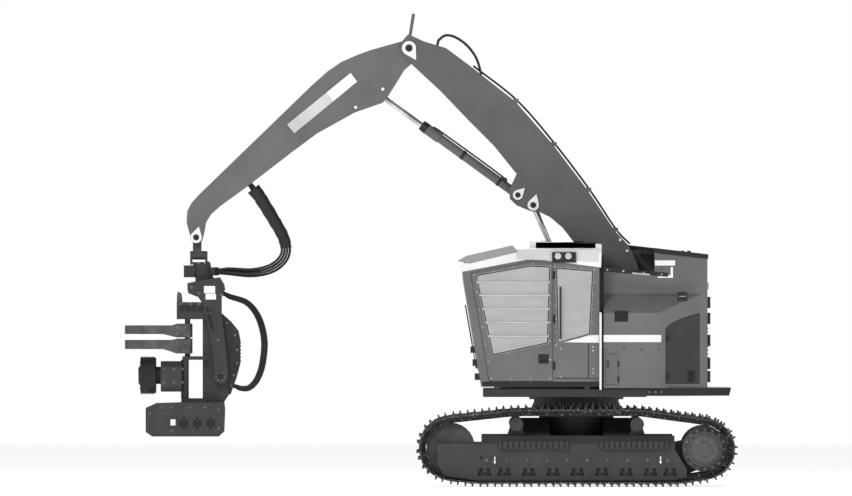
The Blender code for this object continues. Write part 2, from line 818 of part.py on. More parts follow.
def engine_enclosure():
    shell = enclosure_body(0, ENCLOSURE_FLOOR, 3.8)
    shell = cut(shell, above_roof(0))
    hollow = enclosure_body(PANEL, ENCLOSURE_FLOOR - 0.1, 3.9)
    corner = moved(corner_door(0, -0.1, 0.1), CORNER_PLACE)
    openings = [service_door(0, -0.1, 0.1), corner, rear_door(0, -0.1, 0.1)]
    openings.append(mirrored(openings[1]))
    return cut(shell, hollow, *openings)


def hood():
    """The roof over the engine, with a slot's width left out for the boom."""
    lid = enclosure_plan(-0.012)
    plate = prism(lid, "z", 3, 4)
    upper = SIDE_Y - SHOULDER_DEPTH + 0.012
    plate = common(plate, block((ROOF_FRONT[0] + 0.02, 3), (-upper, upper), (3, 4)))
    slot = block((0, SLOT_END), (-SLOT_HALF, SLOT_HALF), (0, 5))
    front = block((0, WALKWAY_END), (-3, 0), (0, 5))
    start_z, end_z = (line_z(ROOF_FRONT, ROOF_REAR, x) + GAP for x in (0, 3))
    below = prism([(0, 0), (3, 0), (3, end_z), (0, start_z)], "y", -3, 3)
    return cut(plate, slot, front, below, above_roof(HOOD_THICK))


def engine_block():
    return block((1.34, 1.89), (-0.75, 0.60), (REAR_DECK_TOP + GAP, 2.60))


piece("engine_enclosure", engine_enclosure(), "upper", "panel_paint")
piece("hood", hood(), "upper", "black_paint")
piece("engine_block", engine_block(), "upper", "cast_iron")

body("service_door", (0.6165, -SIDE_Y, 1.76), "upper")
body("corner_door_left", CORNER_PLACE @ Vector((0.1125, 0, 2.0)), "upper")
body("corner_door_right", Matrix.Scale(-1, 4, (0, 1, 0)) @ (CORNER_PLACE @ Vector((0.1125, 0, 2.0))), "upper")
body("rear_door", (ENCLOSURE_REAR, REAR_DOOR[0][0], 2.2), "upper")
service = hinged(
    service_door(CLEAR, 0, PANEL),
    [service_door(GAP, 0, LEAF) for _ in range(2)],
    edge_places(SERVICE_DOOR[1][0], (1.58, 1.84)),
)
piece("service_door", service, "service_door", "panel_paint")
left_corner = hinged(
    corner_door(CLEAR, 0, PANEL),
    [corner_door(GAP, 0, LEAF) for _ in range(2)],
    edge_places(CORNER_DOOR[0][0], (1.65, 2.2)),
)
left_corner = moved(left_corner, CORNER_PLACE)
piece("corner_door_right", mirrored(left_corner), "corner_door_right", "dark_paint")
piece("corner_door_left", left_corner, "corner_door_left", "dark_paint")
rear_leaf = (REAR_DOOR[0][0] - LEAF_REACH, REAR_DOOR[0][0] + LEAF_REACH)
rear_places = [block((0, 5), rear_leaf, (z, z + 0.1)) for z in (1.7, 2.6)]
rear = hinged(rear_door(CLEAR, 0, PANEL), [rear_door(GAP, 0, LEAF) for _ in range(2)], rear_places)
piece("rear_door", rear, "rear_door", "panel_paint")


# Cab ---------------------------------------------------------------------------------------------

# (x, z) round the cab's side, below the roof
CAB_SIDE = [(-1.431, CAB_FLOOR), (CAB_REAR, CAB_FLOOR), (CAB_REAR, 3.279), (-0.6675, 3.411), (-1.716, 3.2115)]
ROOF_SIDE = [
    (-1.716, 3.2115), (-0.6675, 3.411), (0.357, 3.276), (0.366, 3.495),
    (-0.699, 3.5685), (-1.7565, 3.309),
]
VISOR = [(-1.7775, 3.3735), (-1.602, 3.335), (-0.8775, 3.51), (-0.9675, 3.6015), (-1.65, 3.447)]
LAMP_PLATE = [(-0.699, 3.55), (0.366, 3.48), (0.366, 3.6255), (-0.699, 3.675)]
DOOR_SIDE = [(-1.317, 1.575), (-0.3585, 1.575), (-0.3585, 3.335), (-0.66, 3.376), (-1.594, 3.198)]
DOOR_WINDOW = [(-1.488, 3.1455), (-1.2435, 1.992), (-0.456, 2.1615), (-0.423, 3.2685), (-0.708, 3.2835)]
LEFT_WINDOW = [(-0.2925, 3.252), (-0.2685, 2.1705), (0.171, 2.292), (0.219, 3.2115)]
RIGHT_WINDOW = [(-1.45, 2.95), (-1.30, 2.05), (0.10, 2.05), (0.12, 3.16), (-0.68, 3.28)]
FRONT_BOTTOM = Vector((-1.431, CAB_FLOOR))
FRONT_TOP = Vector((-1.716, 3.2115))


def cab_shell():
    left, right = CAB_LEFT, CAB_RIGHT
    shell = prism(CAB_SIDE, "y", left, right)
    hollow = inset(CAB_SIDE, CAB_WALL)
    hollow = [hollow[0], hollow[1], (hollow[2][0], 4), (hollow[4][0], 4), hollow[4]]
    inside = prism(hollow, "y", left + CAB_WALL, right - CAB_WALL)
    doorway = prism(DOOR_SIDE, "y", left - 0.1, left + CAB_WALL + 0.01)
    rear_pane = prism(LEFT_WINDOW, "y", left - 0.1, left + CAB_WALL + 0.01)
    right_pane = prism(RIGHT_WINDOW, "y", right - CAB_WALL - 0.01, right + 0.1)
    shell = cut(shell, inside, doorway, rear_pane, right_pane)
    front = block((-2, -1.2), (left + 0.09, right - 0.09), (1.78, 3.10))
    shell = cut(shell, front)
    feet = []
    for x in (-1.18, 0.15):
        for y in (left + 0.12, right - 0.12):
            feet.append(bar((x, y, DECK_TOP + GAP), (x, y, CAB_FLOOR + 0.02), 0.05, 12))
    return join(shell, *feet)


def cab_roof():
    roof = prism(shifted(ROOF_SIDE, 0, GAP), "y", CAB_LEFT, CAB_RIGHT)
    visor = prism(VISOR, "y", CAB_LEFT + 0.03, CAB_RIGHT - 0.03)
    lamps = prism(LAMP_PLATE, "y", CAB_LEFT + 0.10, CAB_LEFT + 0.14)
    rear = prism(LAMP_PLATE, "y", CAB_RIGHT - 0.14, CAB_RIGHT - 0.10)
    return join(roof, visor, lamps, rear)


def cab_door():
    door = prism(inset(DOOR_SIDE, CLEAR), "y", CAB_LEFT, CAB_LEFT + CAB_WALL)
    leaves = [prism(inset(DOOR_SIDE, GAP), "y", CAB_LEFT, CAB_LEFT + LEAF) for _ in range(2)]
    places = [block((-2, -1.30), (-5, 5), (1.75, 1.85)), block((-2, -1.52), (-5, 5), (2.95, 3.05))]
    door = hinged(door, leaves, places)
    return cut(door, prism(DOOR_WINDOW, "y", CAB_LEFT - 0.1, CAB_LEFT + 0.2))


def pane(outline, wall, outwards):
    """A pane bolted over its opening, on the outside of a wall at y = wall."""
    near = wall + outwards * GAP
    far = near + outwards * GLASS
    return prism(inset(outline, -GLASS_LAP), "y", min(near, far), max(near, far))


def windscreen():
    """Lies on the slanted front wall."""
    up = (FRONT_TOP - FRONT_BOTTOM).normalized()
    out = Vector((-up.y, up.x))
    low = FRONT_BOTTOM + up * (1.74 - FRONT_BOTTOM.y) + out * GAP
    high = FRONT_BOTTOM + up * (3.16 - FRONT_BOTTOM.y) + out * GAP
    outline = [tuple(low), tuple(high), tuple(high + out * GLASS), tuple(low + out * GLASS)]
    return prism(outline, "y", CAB_LEFT + 0.05, CAB_RIGHT - 0.05)


def operator_seat():
    middle = (CAB_LEFT + CAB_RIGHT) / 2
    floor = CAB_FLOOR + CAB_WALL + GAP
    side = [(-0.62, 2.0), (-0.28, 2.0), (-0.16, 2.72), (-0.02, 2.70), (-0.12, 1.86), (-0.58, 1.86)]
    seat = prism(side, "y", middle - 0.25, middle + 0.25)
    pedestal = block((-0.52, -0.18), (middle - 0.16, middle + 0.16), (floor, 1.88))
    return join(seat, pedestal)


def armrest_consoles():
    """Control boxes on both sides of the seat, joined behind it."""
    middle = (CAB_LEFT + CAB_RIGHT) / 2
    floor = CAB_FLOOR + CAB_WALL + GAP
    consoles = block((0.0, 0.08), (middle - 0.36, middle + 0.36), (floor, 2.16))
    arms = []
    for sign in (-1, 1):
        y = middle + sign * 0.32
        side = [(-0.62, 2.10), (0.05, 2.02), (0.05, 2.16), (-0.62, 2.20)]
        arms.append(prism(side, "y", y - 0.05, y + 0.05))
    return join(consoles, *arms)


HINGE_LOW = Vector((-1.317, CAB_LEFT, 1.575))
HINGE_HIGH = Vector((-1.594, CAB_LEFT, 3.198))
body("cab_door", (HINGE_LOW + HINGE_HIGH) / 2, "upper")
piece("cab_shell", cab_shell(), "upper", "panel_paint")
piece("cab_roof", cab_roof(), "upper", "white_paint")
piece("windscreen", windscreen(), "upper", "window")
piece("left_rear_window", pane(LEFT_WINDOW, CAB_LEFT, -1), "upper", "window")
piece("right_window", pane(RIGHT_WINDOW, CAB_RIGHT, 1), "upper", "window")
piece("operator_seat", operator_seat(), "upper", "seat_fabric")
piece("armrest_consoles", armrest_consoles(), "upper", "trim_plastic")
piece("cab_door", cab_door(), "cab_door", "panel_paint")
piece("cab_door_window", pane(DOOR_WINDOW, CAB_LEFT, -1), "cab_door", "window")


# Boom and stick ----------------------------------------------------------------------------------

# (station, offset to the underside) from the foot pin, then from the tip pin, foot to tip
BOOM_UNDER_FOOT = [(-0.15, 0.14), (0.05, 0.205), (0.60, 0.06), (1.45, -0.17), (1.73, -0.17), (1.97, -0.12)]
BOOM_UNDER_FOOT += [(2.13, -0.04), (2.21, 0.05), (2.42, 0.17), (2.56, 0.19), (2.68, 0.10), (2.79, -0.12)]
BOOM_UNDER_TIP = [(-1.94, -0.11), (-1.38, -0.04), (-0.80, 0.02), (-0.25, 0.11), (-0.06, 0.14)]
BOOM_TOP_TIP = [
    (0.08, 0.12), (0.15, 0.0), (0.17, -0.12), (-0.06, -0.24),
    (-0.34, -0.44), (-0.77, -0.56), (-1.61, -0.77),
]
BOOM_TOP_FOOT = [(2.80, -0.82), (1.94, -0.81), (1.22, -0.76), (0.90, -0.79), (0.58, -0.71), (0.22, -0.46)]
BOOM_TOP_FOOT += [(-0.05, -0.22), (-0.20, -0.05)]
BOOM_CAVITY = [(1.95, -0.17), (3.12, -0.17), (3.12, 0.5), (1.95, 0.5)]

STICK_TOP_ROOT = [(-0.14, 0.05), (-0.13, -0.06), (-0.04, -0.12), (0.20, -0.24), (0.45, -0.36), (0.65, -0.44)]
STICK_TOP_ROOT += [(0.90, -0.52), (1.14, -0.55), (1.46, -0.55)]
STICK_TOP_TIP = [
    (-0.46, -0.45), (-0.28, -0.43), (-0.16, -0.38), (-0.04, -0.26),
    (0.05, -0.08), (0.07, 0.02), (0.02, 0.09),
]
STICK_UNDER_TIP = [
    (-0.03, 0.10), (-0.15, 0.02), (-0.26, -0.07), (-0.40, -0.11),
    (-0.58, -0.11), (-1.08, -0.06),
]
STICK_UNDER_ROOT = [
    (2.33, 0.0), (1.88, 0.04), (1.57, 0.11), (1.25, 0.18),
    (0.84, 0.35), (0.71, 0.33), (0.27, 0.20),
]
STICK_UNDER_ROOT += [(0.11, 0.20), (-0.05, 0.15)]
STICK_CAVITY = [(0.36, -0.02), (1.40, -0.02), (1.40, 0.7), (0.36, 0.7)]


def boom():
    outline = [on_boom(s, o) for s, o in BOOM_UNDER_FOOT]
    outline += [on_boom(s, o, True) for s, o in BOOM_UNDER_TIP + BOOM_TOP_TIP]
    outline += [on_boom(s, o) for s, o in BOOM_TOP_FOOT]
    box = prism(flat(outline), "y", -BOOM_HALF, BOOM_HALF)
    boss = crossbar(BOOM_FOOT, BOOM_FOOT_HALF, 0.17)
    box = join(box, boss)
    cavity = prism(flat([on_boom(s, o) for s, o in BOOM_CAVITY]), "y", -LUG_HALF, LUG_HALF)
    fork = crossbar(BOOM_TIP, STICK_HALF + GAP, FORK_RADIUS, WHEEL_ROUND)
    bore = crossbar(BOOM_FOOT, 0.5, PIN_RADIUS + BORE_CLEAR)
    box = cut(box, cavity, fork, bore)
    pins = [crossbar(BOOM_TIP, BOOM_HALF + 0.012, PIN_RADIUS)]
    for pin in (STICK_CYLINDER_BASE, BOOM_CYLINDER_PIN):
        for sign in (-1, 1):
            near = pin + Vector((0, sign * (EYE_HALF + GAP), 0))
            far = pin + Vector((0, sign * (BOOM_HALF + 0.012), 0))
            pins.append(bar(near, far, 0.07, SMALL_ROUND))
    pins.append(crossbar(STICK_CYLINDER_BASE, BOOM_HALF, 0.04))
    foot = BOOM_TIP + Vector((0, -(BOOM_HALF + STICK_HALF) / 2, 0.08))
    pins.append(bar(foot, foot + Vector((0.0695, 0, 0.4345)), TIP_POST_RADIUS, SMALL_ROUND))
    return join(box, *pins)


def stick():
    outline = [on_stick(s, o) for s, o in STICK_TOP_ROOT]
    outline += [on_stick(s, o, True) for s, o in STICK_TOP_TIP + STICK_UNDER_TIP]
    outline += [on_stick(s, o) for s, o in STICK_UNDER_ROOT]
    box = prism(flat(outline), "y", -STICK_HALF, STICK_HALF)
    cavity = prism(flat([on_stick(s, o) for s, o in STICK_CAVITY]), "y", -EYE_HALF - GAP, EYE_HALF + GAP)
    fork = crossbar(STICK_END, LINK_HALF_WIDTH + GAP, 0.17, ROUND)
    bore = crossbar(BOOM_TIP, 0.5, PIN_RADIUS + BORE_CLEAR)
    box = cut(box, cavity, fork, bore)
    return join(box, crossbar(STICK_END, STICK_HALF + 0.012, 0.04))


def barrel(base, pin, barrel_end, gland_end, pin_radius):
    """A cylinder's barrel from its base eye to its gland, bored for the rod."""
    along = (pin - base).normalized()
    eye = crossbar(base, EYE_HALF, 0.095)
    tube = turned(
        base,
        pin,
        [
            (0.05, 0.05),
            (0.12, BARREL_RADIUS),
            (barrel_end, BARREL_RADIUS),
            (barrel_end + 0.01, GLAND_RADIUS),
            (gland_end, GLAND_RADIUS),
        ],
    )
    rod_hole = bar(base + along * 0.2, pin, ROD_RADIUS + ROD_CLEAR)
    bore = crossbar(base, 0.3, pin_radius + BORE_CLEAR)
    return cut(join(eye, tube), rod_hole, bore)


def rod(base, pin, inside):
    """A cylinder's rod, which reaches back into its barrel as far as inside from the base."""
    along = (pin - base).normalized()
    shaft = bar(base + along * inside, pin, ROD_RADIUS)
    return join(shaft, crossbar(pin, EYE_HALF, 0.08))


piece("boom", boom(), "boom", "arm_paint")
piece("stick", stick(), "stick", "arm_paint")
boom_barrel = barrel(BOOM_CYLINDER_BASE, BOOM_CYLINDER_PIN, 1.30, 1.42, 0.045)
piece("boom_cylinder_barrel", boom_barrel, "boom_barrel", "arm_paint")
piece("boom_cylinder_rod", rod(BOOM_CYLINDER_BASE, BOOM_CYLINDER_PIN, 0.60), "boom_rod", "chrome")
stick_barrel = barrel(STICK_CYLINDER_BASE, STICK_CYLINDER_PIN, 1.44, 1.70, 0.04)
piece("stick_cylinder_barrel", stick_barrel, "stick_barrel", "arm_paint")
piece("stick_cylinder_rod", rod(STICK_CYLINDER_BASE, STICK_CYLINDER_PIN, 0.80), "stick_rod", "chrome")


# Link, rotator and tilt frame --------------------------------------------------------------------


def hanger_link():
    eye = crossbar(STICK_END, LINK_HALF_WIDTH, 0.09)
    neck = block((STICK_END.x - 0.05, CROSS.x + 0.04), (-0.05, 0.05), (CROSS.z + 0.03, STICK_END.z - 0.03))
    lower = bar(CROSS + Vector((-0.095, 0, 0)), CROSS + Vector((0.095, 0, 0)), 0.065)
    link = join(eye, neck, lower)
    bores = [crossbar(STICK_END, 0.3, 0.04 + BORE_CLEAR)]
    bores.append(bar(CROSS + Vector((-0.3, 0, 0)), CROSS + Vector((0.3, 0, 0)), 0.03 + BORE_CLEAR))
    return cut(link, *bores)


def rotator_housing():
    ears = []
    for sign in (-1, 1):
        near = CROSS.x + sign * (0.095 + GAP)
        far = near + sign * 0.035
        ear = [(-0.075, -0.13), (0.075, -0.13)] + arc((0, 0), 0.062, 0, 180, 7)
        ears.append(prism(shifted(ear, 0, CROSS.z), "x", min(near, far), max(near, far)))
    pin = bar(CROSS + Vector((-0.125, 0, 0)), CROSS + Vector((0.125, 0, 0)), 0.03)
    cap = block((CROSS.x - 0.13, CROSS.x + 0.13), (-0.10, 0.10), (CROSS.z - 0.14, CROSS.z - 0.10))
    stations = [(0.01, 0.11), (0.03, ROTATOR_RADIUS), (ROTATOR_HEIGHT, ROTATOR_RADIUS)]
    drum = turned(ROTATOR_TOP, ROTATOR_TOP + ROTATOR_DOWN, stations)
    motor = block((CROSS.x - 0.225, CROSS.x - 0.06), (-0.07, 0.07), (CROSS.z - 0.33, CROSS.z - 0.15))
    ports = block((CROSS.x + 0.06, CROSS.x + PORT_REACH), (-0.08, 0.08), (CROSS.z - 0.30, CROSS.z - 0.18))
    return join(drum, cap, pin, motor, ports, *ears)


# (x, z) from the tilt pin
YOKE_TOP = [
    (-0.495, 1.401), (-0.495, 1.313), (-0.481, 1.247), (-0.348, 1.193),
    (0.014, 1.193), (0.067, 1.300),
]
YOKE_TOP += [(0.054, 1.380), (-0.013, 1.488)]
YOKE_ARM = [(-0.348, 1.21), (-0.280, 1.113), (-0.241, 0.978), (-0.095, 0.30), (-0.10, -0.02), (-0.06, -0.085)]
YOKE_ARM += [(0.02, -0.11), (0.10, -0.06), (0.122, 0.014), (0.067, 0.550), (0.014, 0.951), (0.014, 1.21)]


def tilt_frame():
    top = prism(shifted(YOKE_TOP, TILT.x, TILT.z), "y", -YOKE_HALF, YOKE_HALF)
    foot = ROTATOR_TOP + ROTATOR_DOWN * (ROTATOR_HEIGHT + GAP)
    parts = [turned(foot, foot + ROTATOR_DOWN, [(0, 0.15), (0.06, 0.15)])]
    for sign in (-1, 1):
        near, far = sign * (YOKE_HALF - YOKE_PLATE), sign * YOKE_HALF
        parts.append(prism(shifted(YOKE_ARM, TILT.x, TILT.z), "y", min(near, far), max(near, far)))
    above = [(-2, 0), (2, 0), (2, 2), (-2, 2)]
    frame = join(top, *parts)
    trim = moved(prism(above, "y", -1, 1), Matrix.Translation(foot) @ Matrix.Rotation(-ROTATOR_LEAN, 4, "Y"))
    return cut(frame, trim, crossbar(TILT, 1, TILT_PIN_RADIUS + BORE_CLEAR))


piece("hanger_link", hanger_link(), "link", "frame_paint")
piece("rotator_housing", rotator_housing(), "rotator", "dark_paint")
piece("tilt_frame", tilt_frame(), "tilt_frame", "dark_paint")


# Head --------------------------------------------------------------------------------------------

# (x, z) from the tilt pin
SPINE = [
    (-0.267, SAW_TOP), (-0.267, BLOCK_TOP), (-0.03, BLOCK_TOP), (-0.03, 0.60),
    (0.05, 0.12), (0.10, -0.05),
]
SPINE += [(0.122, -0.28), (0.054, SAW_TOP)]
COVER_OUTSIDE = [
    (0.014, 0.951), (0.160, 0.818), (0.269, 0.684), (0.296, 0.550),
    (0.296, 0.188), (0.242, -0.012), (0.15, -0.27),
]


def head_chassis():
    spine = prism(shifted(SPINE, TILT.x, TILT.z), "y", -CHASSIS_HALF, CHASSIS_HALF)
    x, z = TILT.x, TILT.z
    parts = [block((x - 0.655, x - 0.20), (-0.30, 0.30), (z + BLOCK_BOTTOM, z + BLOCK_TOP))]
    parts.append(block((x - 0.57, x - 0.20), (-0.375, 0.375), (z + SHELF_BOTTOM, z + SHELF_TOP)))
    parts.append(block((x - 0.585, x - 0.20), (-0.375, 0.375), (z + SAW_TOP, z + SAW_TOP + 0.055)))
    for sign in (-1, 1):
        post = Vector((x + KNIFE_POST.x, sign * KNIFE_POST.y, z))
        low, high = SHELF_TOP - 0.01, BLOCK_BOTTOM + 0.01
        parts.append(bar(post + Vector((0, 0, low)), post + Vector((0, 0, high)), KNIFE_POST_RADIUS))
        post = Vector((x + ARM_POST.x, sign * ARM_POST.y, z))
        low, high = SAW_TOP + 0.01, SHELF_BOTTOM + 0.01
        parts.append(bar(post + Vector((0, 0, low)), post + Vector((0, 0, high)), ARM_POST_RADIUS))
    parts.append(crossbar(TILT, YOKE_HALF - YOKE_PLATE - GAP, 0.075))
    parts.append(crossbar(TILT, YOKE_HALF + 0.012, TILT_PIN_RADIUS))
    return join(spine, *parts)


def head_cover():
    inside = [(u + GAP, v + GAP) for u, v in SPINE[3:6]]
    outline = COVER_OUTSIDE + list(reversed(inside)) + [(SPINE[2][0] + GAP, 0.93)]
    outline.insert(len(COVER_OUTSIDE), (SPINE[6][0] + 2 * GAP, -0.27))
    return prism(shifted(outline, TILT.x, TILT.z), "y", -0.20, 0.20)


# Plan of a left knife from its post: (forwards, out) of the blade's outer and inner edge
BLADE_OUTER = [(-0.04, 0.075), (0.18, 0.19), (0.42, 0.25), (0.64, 0.21), (0.82, 0.11), (0.936, -0.02)]
BLADE_INNER = [(0.925, -0.035), (0.80, 0.07), (0.62, 0.16), (0.42, 0.195), (0.20, 0.13), (0.07, 0.02)]
# Heights of (tip bottom, tip top, root bottom, root top) from the tilt pin
UPPER_KNIFE = (0.636, 0.764, 0.585, 0.79)
LOWER_KNIFE = (0.411, 0.545, 0.345, 0.565)


def knife(heights):
    """A curved delimbing knife on its post, for the left side."""
    tip_bottom, tip_top, root_bottom, root_top = heights
    x, z = TILT.x + KNIFE_POST.x, TILT.z
    y = -KNIFE_POST.y
    plan = [(x - forwards, y - out) for forwards, out in BLADE_OUTER + BLADE_INNER]
    blade = prism(plan, "z", z + root_bottom, z + root_top)
    side = [
        (x + 0.2, z + root_bottom),
        (x + 0.2, z + root_top),
        (x - 0.16, z + root_top),
        (x - 0.24, z + tip_top),
        (x - 1.2, z + tip_top),
        (x - 1.2, z + tip_bottom),
        (x - 0.36, z + tip_bottom),
        (x - 0.16, z + root_bottom),
    ]
    blade = common(blade, prism(side, "y", y - 1, y + 1))
    post = Vector((x, y, z))
    hub = bar(post + Vector((0, 0, root_bottom)), post + Vector((0, 0, root_top)), 0.072, ROUND)
    hole = bar(post, post + Vector((0, 0, 2)), KNIFE_POST_RADIUS + BORE_CLEAR)
    return cut(join(blade, hub), hole)


def roller_arm():
    """Arm and motor of the left feed roller."""
    x, z = TILT.x, TILT.z
    half = (MOTOR_HALF, MOTOR_HALF - MOTOR_CHAMFER)
    corners = [(half[1], half[0]), (half[0], half[1]), (half[0], -half[1]), (half[1], -half[0])]
    octagon = corners + [(-y, -v) for y, v in corners]
    octagon = shifted(octagon, -ROLLER_Y, 0)
    motor = prism(shifted(octagon, 0, z), "x", x + FEED_HUB_REAR + GAP, x - 0.576)
    post = Vector((x + ARM_POST.x, -ARM_POST.y, z))
    low = Vector((0, 0, SAW_TOP + 0.055 + GAP))
    high = Vector((0, 0, SHELF_BOTTOM - GAP))
    hub = bar(post + low, post + high, 0.055, ROUND)
    web = block((x - 0.60, x + ARM_POST.x), (-ARM_POST.y - 0.04, -ARM_POST.y + 0.04), (z - 0.20, z + 0.20))
    hole = bar(post + Vector((0, 0, -1)), post + Vector((0, 0, 1)), ARM_POST_RADIUS + BORE_CLEAR)
    return cut(join(motor, hub, web), hole)


def feed_roller():
    """The left spiked drum and its hub."""
    start = Vector((TILT.x + FEED_FRONT, -ROLLER_Y, TILT.z + FEED_Z))
    drum = FEED_REAR - FEED_FRONT
    stations = [(0, 0.12), (0.03, 0.15), (0.03, FEED_RADIUS), (drum, FEED_RADIUS), (drum, 0.1275)]
    stations.append((FEED_HUB_REAR - FEED_FRONT, 0.1275))
    return turned(start, start + Vector((1, 0, 0)), stations, WHEEL_ROUND)


# (x, z) from the tilt pin
SAW_SIDE = [
    (-1.116, -0.468), (-1.116, -0.830), (-1.017, -0.897), (-0.021, -0.897),
    (0.054, -0.830), (0.067, -0.495),
]
SAW_SIDE += [(0.054, SAW_TOP - GAP), (-0.60, SAW_TOP - GAP), (-0.958, -0.396)]
SAW_LEFT = -0.60
SAW_RIGHT = 0.42
SAW_PIVOT = Vector((-0.25, -0.42, -0.85))
SAW_SKIRT = 0.03


def saw_box():
    """Open at the front right for the stem, with a recess underneath that the saw bar swings in."""
    x, z = TILT.x, TILT.z
    box = prism(shifted(SAW_SIDE, x, z), "y", SAW_LEFT, SAW_RIGHT)
    throat = block((x - 1.3, x - 0.60), (-0.30, 1), (z - 1, z))
    front, rear = x - 1.116 + SAW_SKIRT, x + 0.03
    recess = block((front, rear), (SAW_LEFT + SAW_SKIRT, 1), (z - 1, z + SAW_FLOOR))
    return cut(box, throat, recess)


def saw_bar():
    x, z = TILT.x, TILT.z
    pivot = Vector((x, 0, z)) + SAW_PIVOT
    plan = [(0.08, -0.05), (0.08, 0.05), (0, 0.07)]
    plan += [(-0.62, 0.055), (-0.74, 0.045), (-0.79, 0.02), (-0.79, -0.02)]
    plan += [(-0.74, -0.045), (-0.62, -0.055), (0, -0.07)]
    blade = prism(shifted(plan, pivot.x, pivot.y), "z", pivot.z - 0.008, pivot.z + 0.008)
    hub = bar(pivot, (pivot.x, pivot.y, z + SAW_FLOOR - GAP), 0.06)
    return join(blade, hub)


def top_knife():
    x, z = TILT.x, TILT.z
    side = [(-0.655, BLOCK_TOP), (-0.655, 1.20), (-0.645, 1.27)]
    side += [(-0.59, 1.25), (-0.575, 1.16), (-0.575, BLOCK_TOP)]
    return prism(shifted(side, x, z + GAP), "y", -0.16, 0.16)


piece("head_chassis", head_chassis(), "head", "head_paint")
piece("head_cover", head_cover(), "head", "dark_paint")
piece("top_knife", top_knife(), "head", "steel")
piece("saw_box", saw_box(), "head", "head_paint")

# Hoses -------------------------------------------------------------------------------------------

# (x, z) between the ends of each bundle: from the hanger pin, the tilt pin and the boom's tip
HEAD_ROUTE = [(1.16, 0.27), (1.32, -0.03), (1.33, -0.27), (1.16, -0.45), (0.86, -0.53)]
LOOP_ROUTE = [(0.40, 1.10), (0.57, 0.88), (0.655, 0.55), (0.63, 0.20), (0.55, -0.04), (0.43, -0.17)]
JOINT_ROUTE = [(0.55, 0.19), (0.70, 0.16), (0.88, 0.03)]
HEAD_HOSE_RADIUS = 0.055
LOOP_HOSE_RADIUS = 0.035
JOINT_HOSE_RADIUS = 0.022


def seat(start, end, share, y, outwards, run):
    """Three points straight out of the flat face from start to end, for a hose's end."""
    side = (end - start).normalized()
    out = Vector((-side.z, 0, side.x)) * outwards
    foot = start.lerp(end, share)
    return [Vector((foot.x, y, foot.z)) + out * distance for distance in (GAP, run / 2, run)]


def smooth(points, step):
    """Points about a step apart on one smooth curve through the given ones."""
    ends = [points[0] * 2 - points[1]] + points + [points[-1] * 2 - points[-2]]
    result = []
    for a, b, c, d in zip(ends, ends[1:], ends[2:], ends[3:]):
        count = max(1, round((c - b).length / step))
        for i in range(count):
            t = i / count
            bend = (a * 2 - b * 5 + c * 4 - d) * t * t + (b * 3 - a - c * 3 + d) * t**3
            result.append((b * 2 + (c - a) * t + bend) / 2)
    return result + [points[-1]]


def hose(name, points, radius, owner):
    """A bundle of hoses as one tube."""
    curve = bpy.data.curves.new(name, "CURVE")
    curve.dimensions = "3D"
    curve.bevel_depth = radius
    curve.bevel_resolution = 2
    curve.use_fill_caps = True
    spline = curve.splines.new("POLY")
    points = smooth(points, 4 * radius)
    spline.points.add(len(points) - 1)
    for spot, point in zip(spline.points, points):
        spot.co = (*(point - BODIES[owner][1]), 1)
    obj = bpy.data.objects.new(name, curve)
    bpy.context.scene.collection.objects.link(obj)
    obj.parent = BODIES[owner][0]
    curve.materials.append(material("hose_rubber"))


def routed(origin, route, y):
    return [origin + Vector((x, y, z)) for x, z in route]


def on_tilt(x, z):
    return TILT + Vector((x, 0, z))


stick_face = (on_stick(*STICK_UNDER_TIP[-1], True), on_stick(*STICK_UNDER_ROOT[0]))
port = CROSS + Vector((PORT_REACH, 0, -0.24))
head_points = seat(*stick_face, 0.06, 0, -1, 0.24) + routed(STICK_END, HEAD_ROUTE, 0)
head_points += [port + Vector((out, 0, 0)) for out in (0.22, 0.11, GAP)]
hose("head_hoses", head_points, HEAD_HOSE_RADIUS, "link")

loop_points = seat(on_tilt(*YOKE_TOP[5]), on_tilt(*YOKE_TOP[4]), 0.5, 0, 1, 0.12)
loop_points += routed(TILT, LOOP_ROUTE, 0)
loop_points += reversed(seat(on_tilt(*COVER_OUTSIDE[5]), on_tilt(*COVER_OUTSIDE[6]), 0.5, 0, 1, 0.12))
hose("loop_hoses", loop_points, LOOP_HOSE_RADIUS, "tilt_frame")

cheek = -(BOOM_HALF + STICK_HALF + GAP) / 2
joint_points = seat(on_boom(*BOOM_TOP_TIP[3], True), on_boom(*BOOM_TOP_TIP[4], True), 0.6, cheek, 1, 0.08)
joint_points += routed(BOOM_TIP, JOINT_ROUTE, cheek)
joint_foot = (on_boom(*BOOM_TOP_TIP[5], True), on_boom(*BOOM_TOP_TIP[6], True))
joint_points += reversed(seat(*joint_foot, 0.25, cheek, 1, 0.08))
hose("joint_hoses", joint_points, JOINT_HOSE_RADIUS, "boom")

SIDES = (("left", -1), ("right", 1))


def both_sides(name, left, pivot, finish, parent="head"):
    """A piece and its mirror image, each on a body of its own; pivot is the left one's."""
    right = mirrored(left)
    for (side, sign), obj in zip(SIDES, (left, right)):
        body(f"{name}_{side}", (pivot[0], -sign * pivot[1], pivot[2]), parent.format(side))
        piece(f"{name}_{side}", obj, f"{name}_{side}", finish)


for name, heights in (("upper_knife", UPPER_KNIFE), ("lower_knife", LOWER_KNIFE)):
    hinge = (TILT.x + KNIFE_POST.x, -KNIFE_POST.y, TILT.z + heights[2])
    both_sides(name, knife(heights), hinge, "steel")
both_sides("roller_arm", roller_arm(), (TILT.x + ARM_POST.x, -ARM_POST.y, TILT.z), "head_paint")
roller_hub = (TILT.x + FEED_HUB_REAR, -ROLLER_Y, TILT.z + FEED_Z)
both_sides("feed_roller", feed_roller(), roller_hub, "cast_iron", "roller_arm_{}")
body("saw_bar", TILT + SAW_PIVOT, "head")
piece("saw_bar", saw_bar(), "saw_bar", "steel")
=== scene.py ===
"""The harvester's looks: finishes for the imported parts, and the fine pieces that go on them."""

import json
import math

import bmesh
import bpy
from mathutils import Matrix, Vector

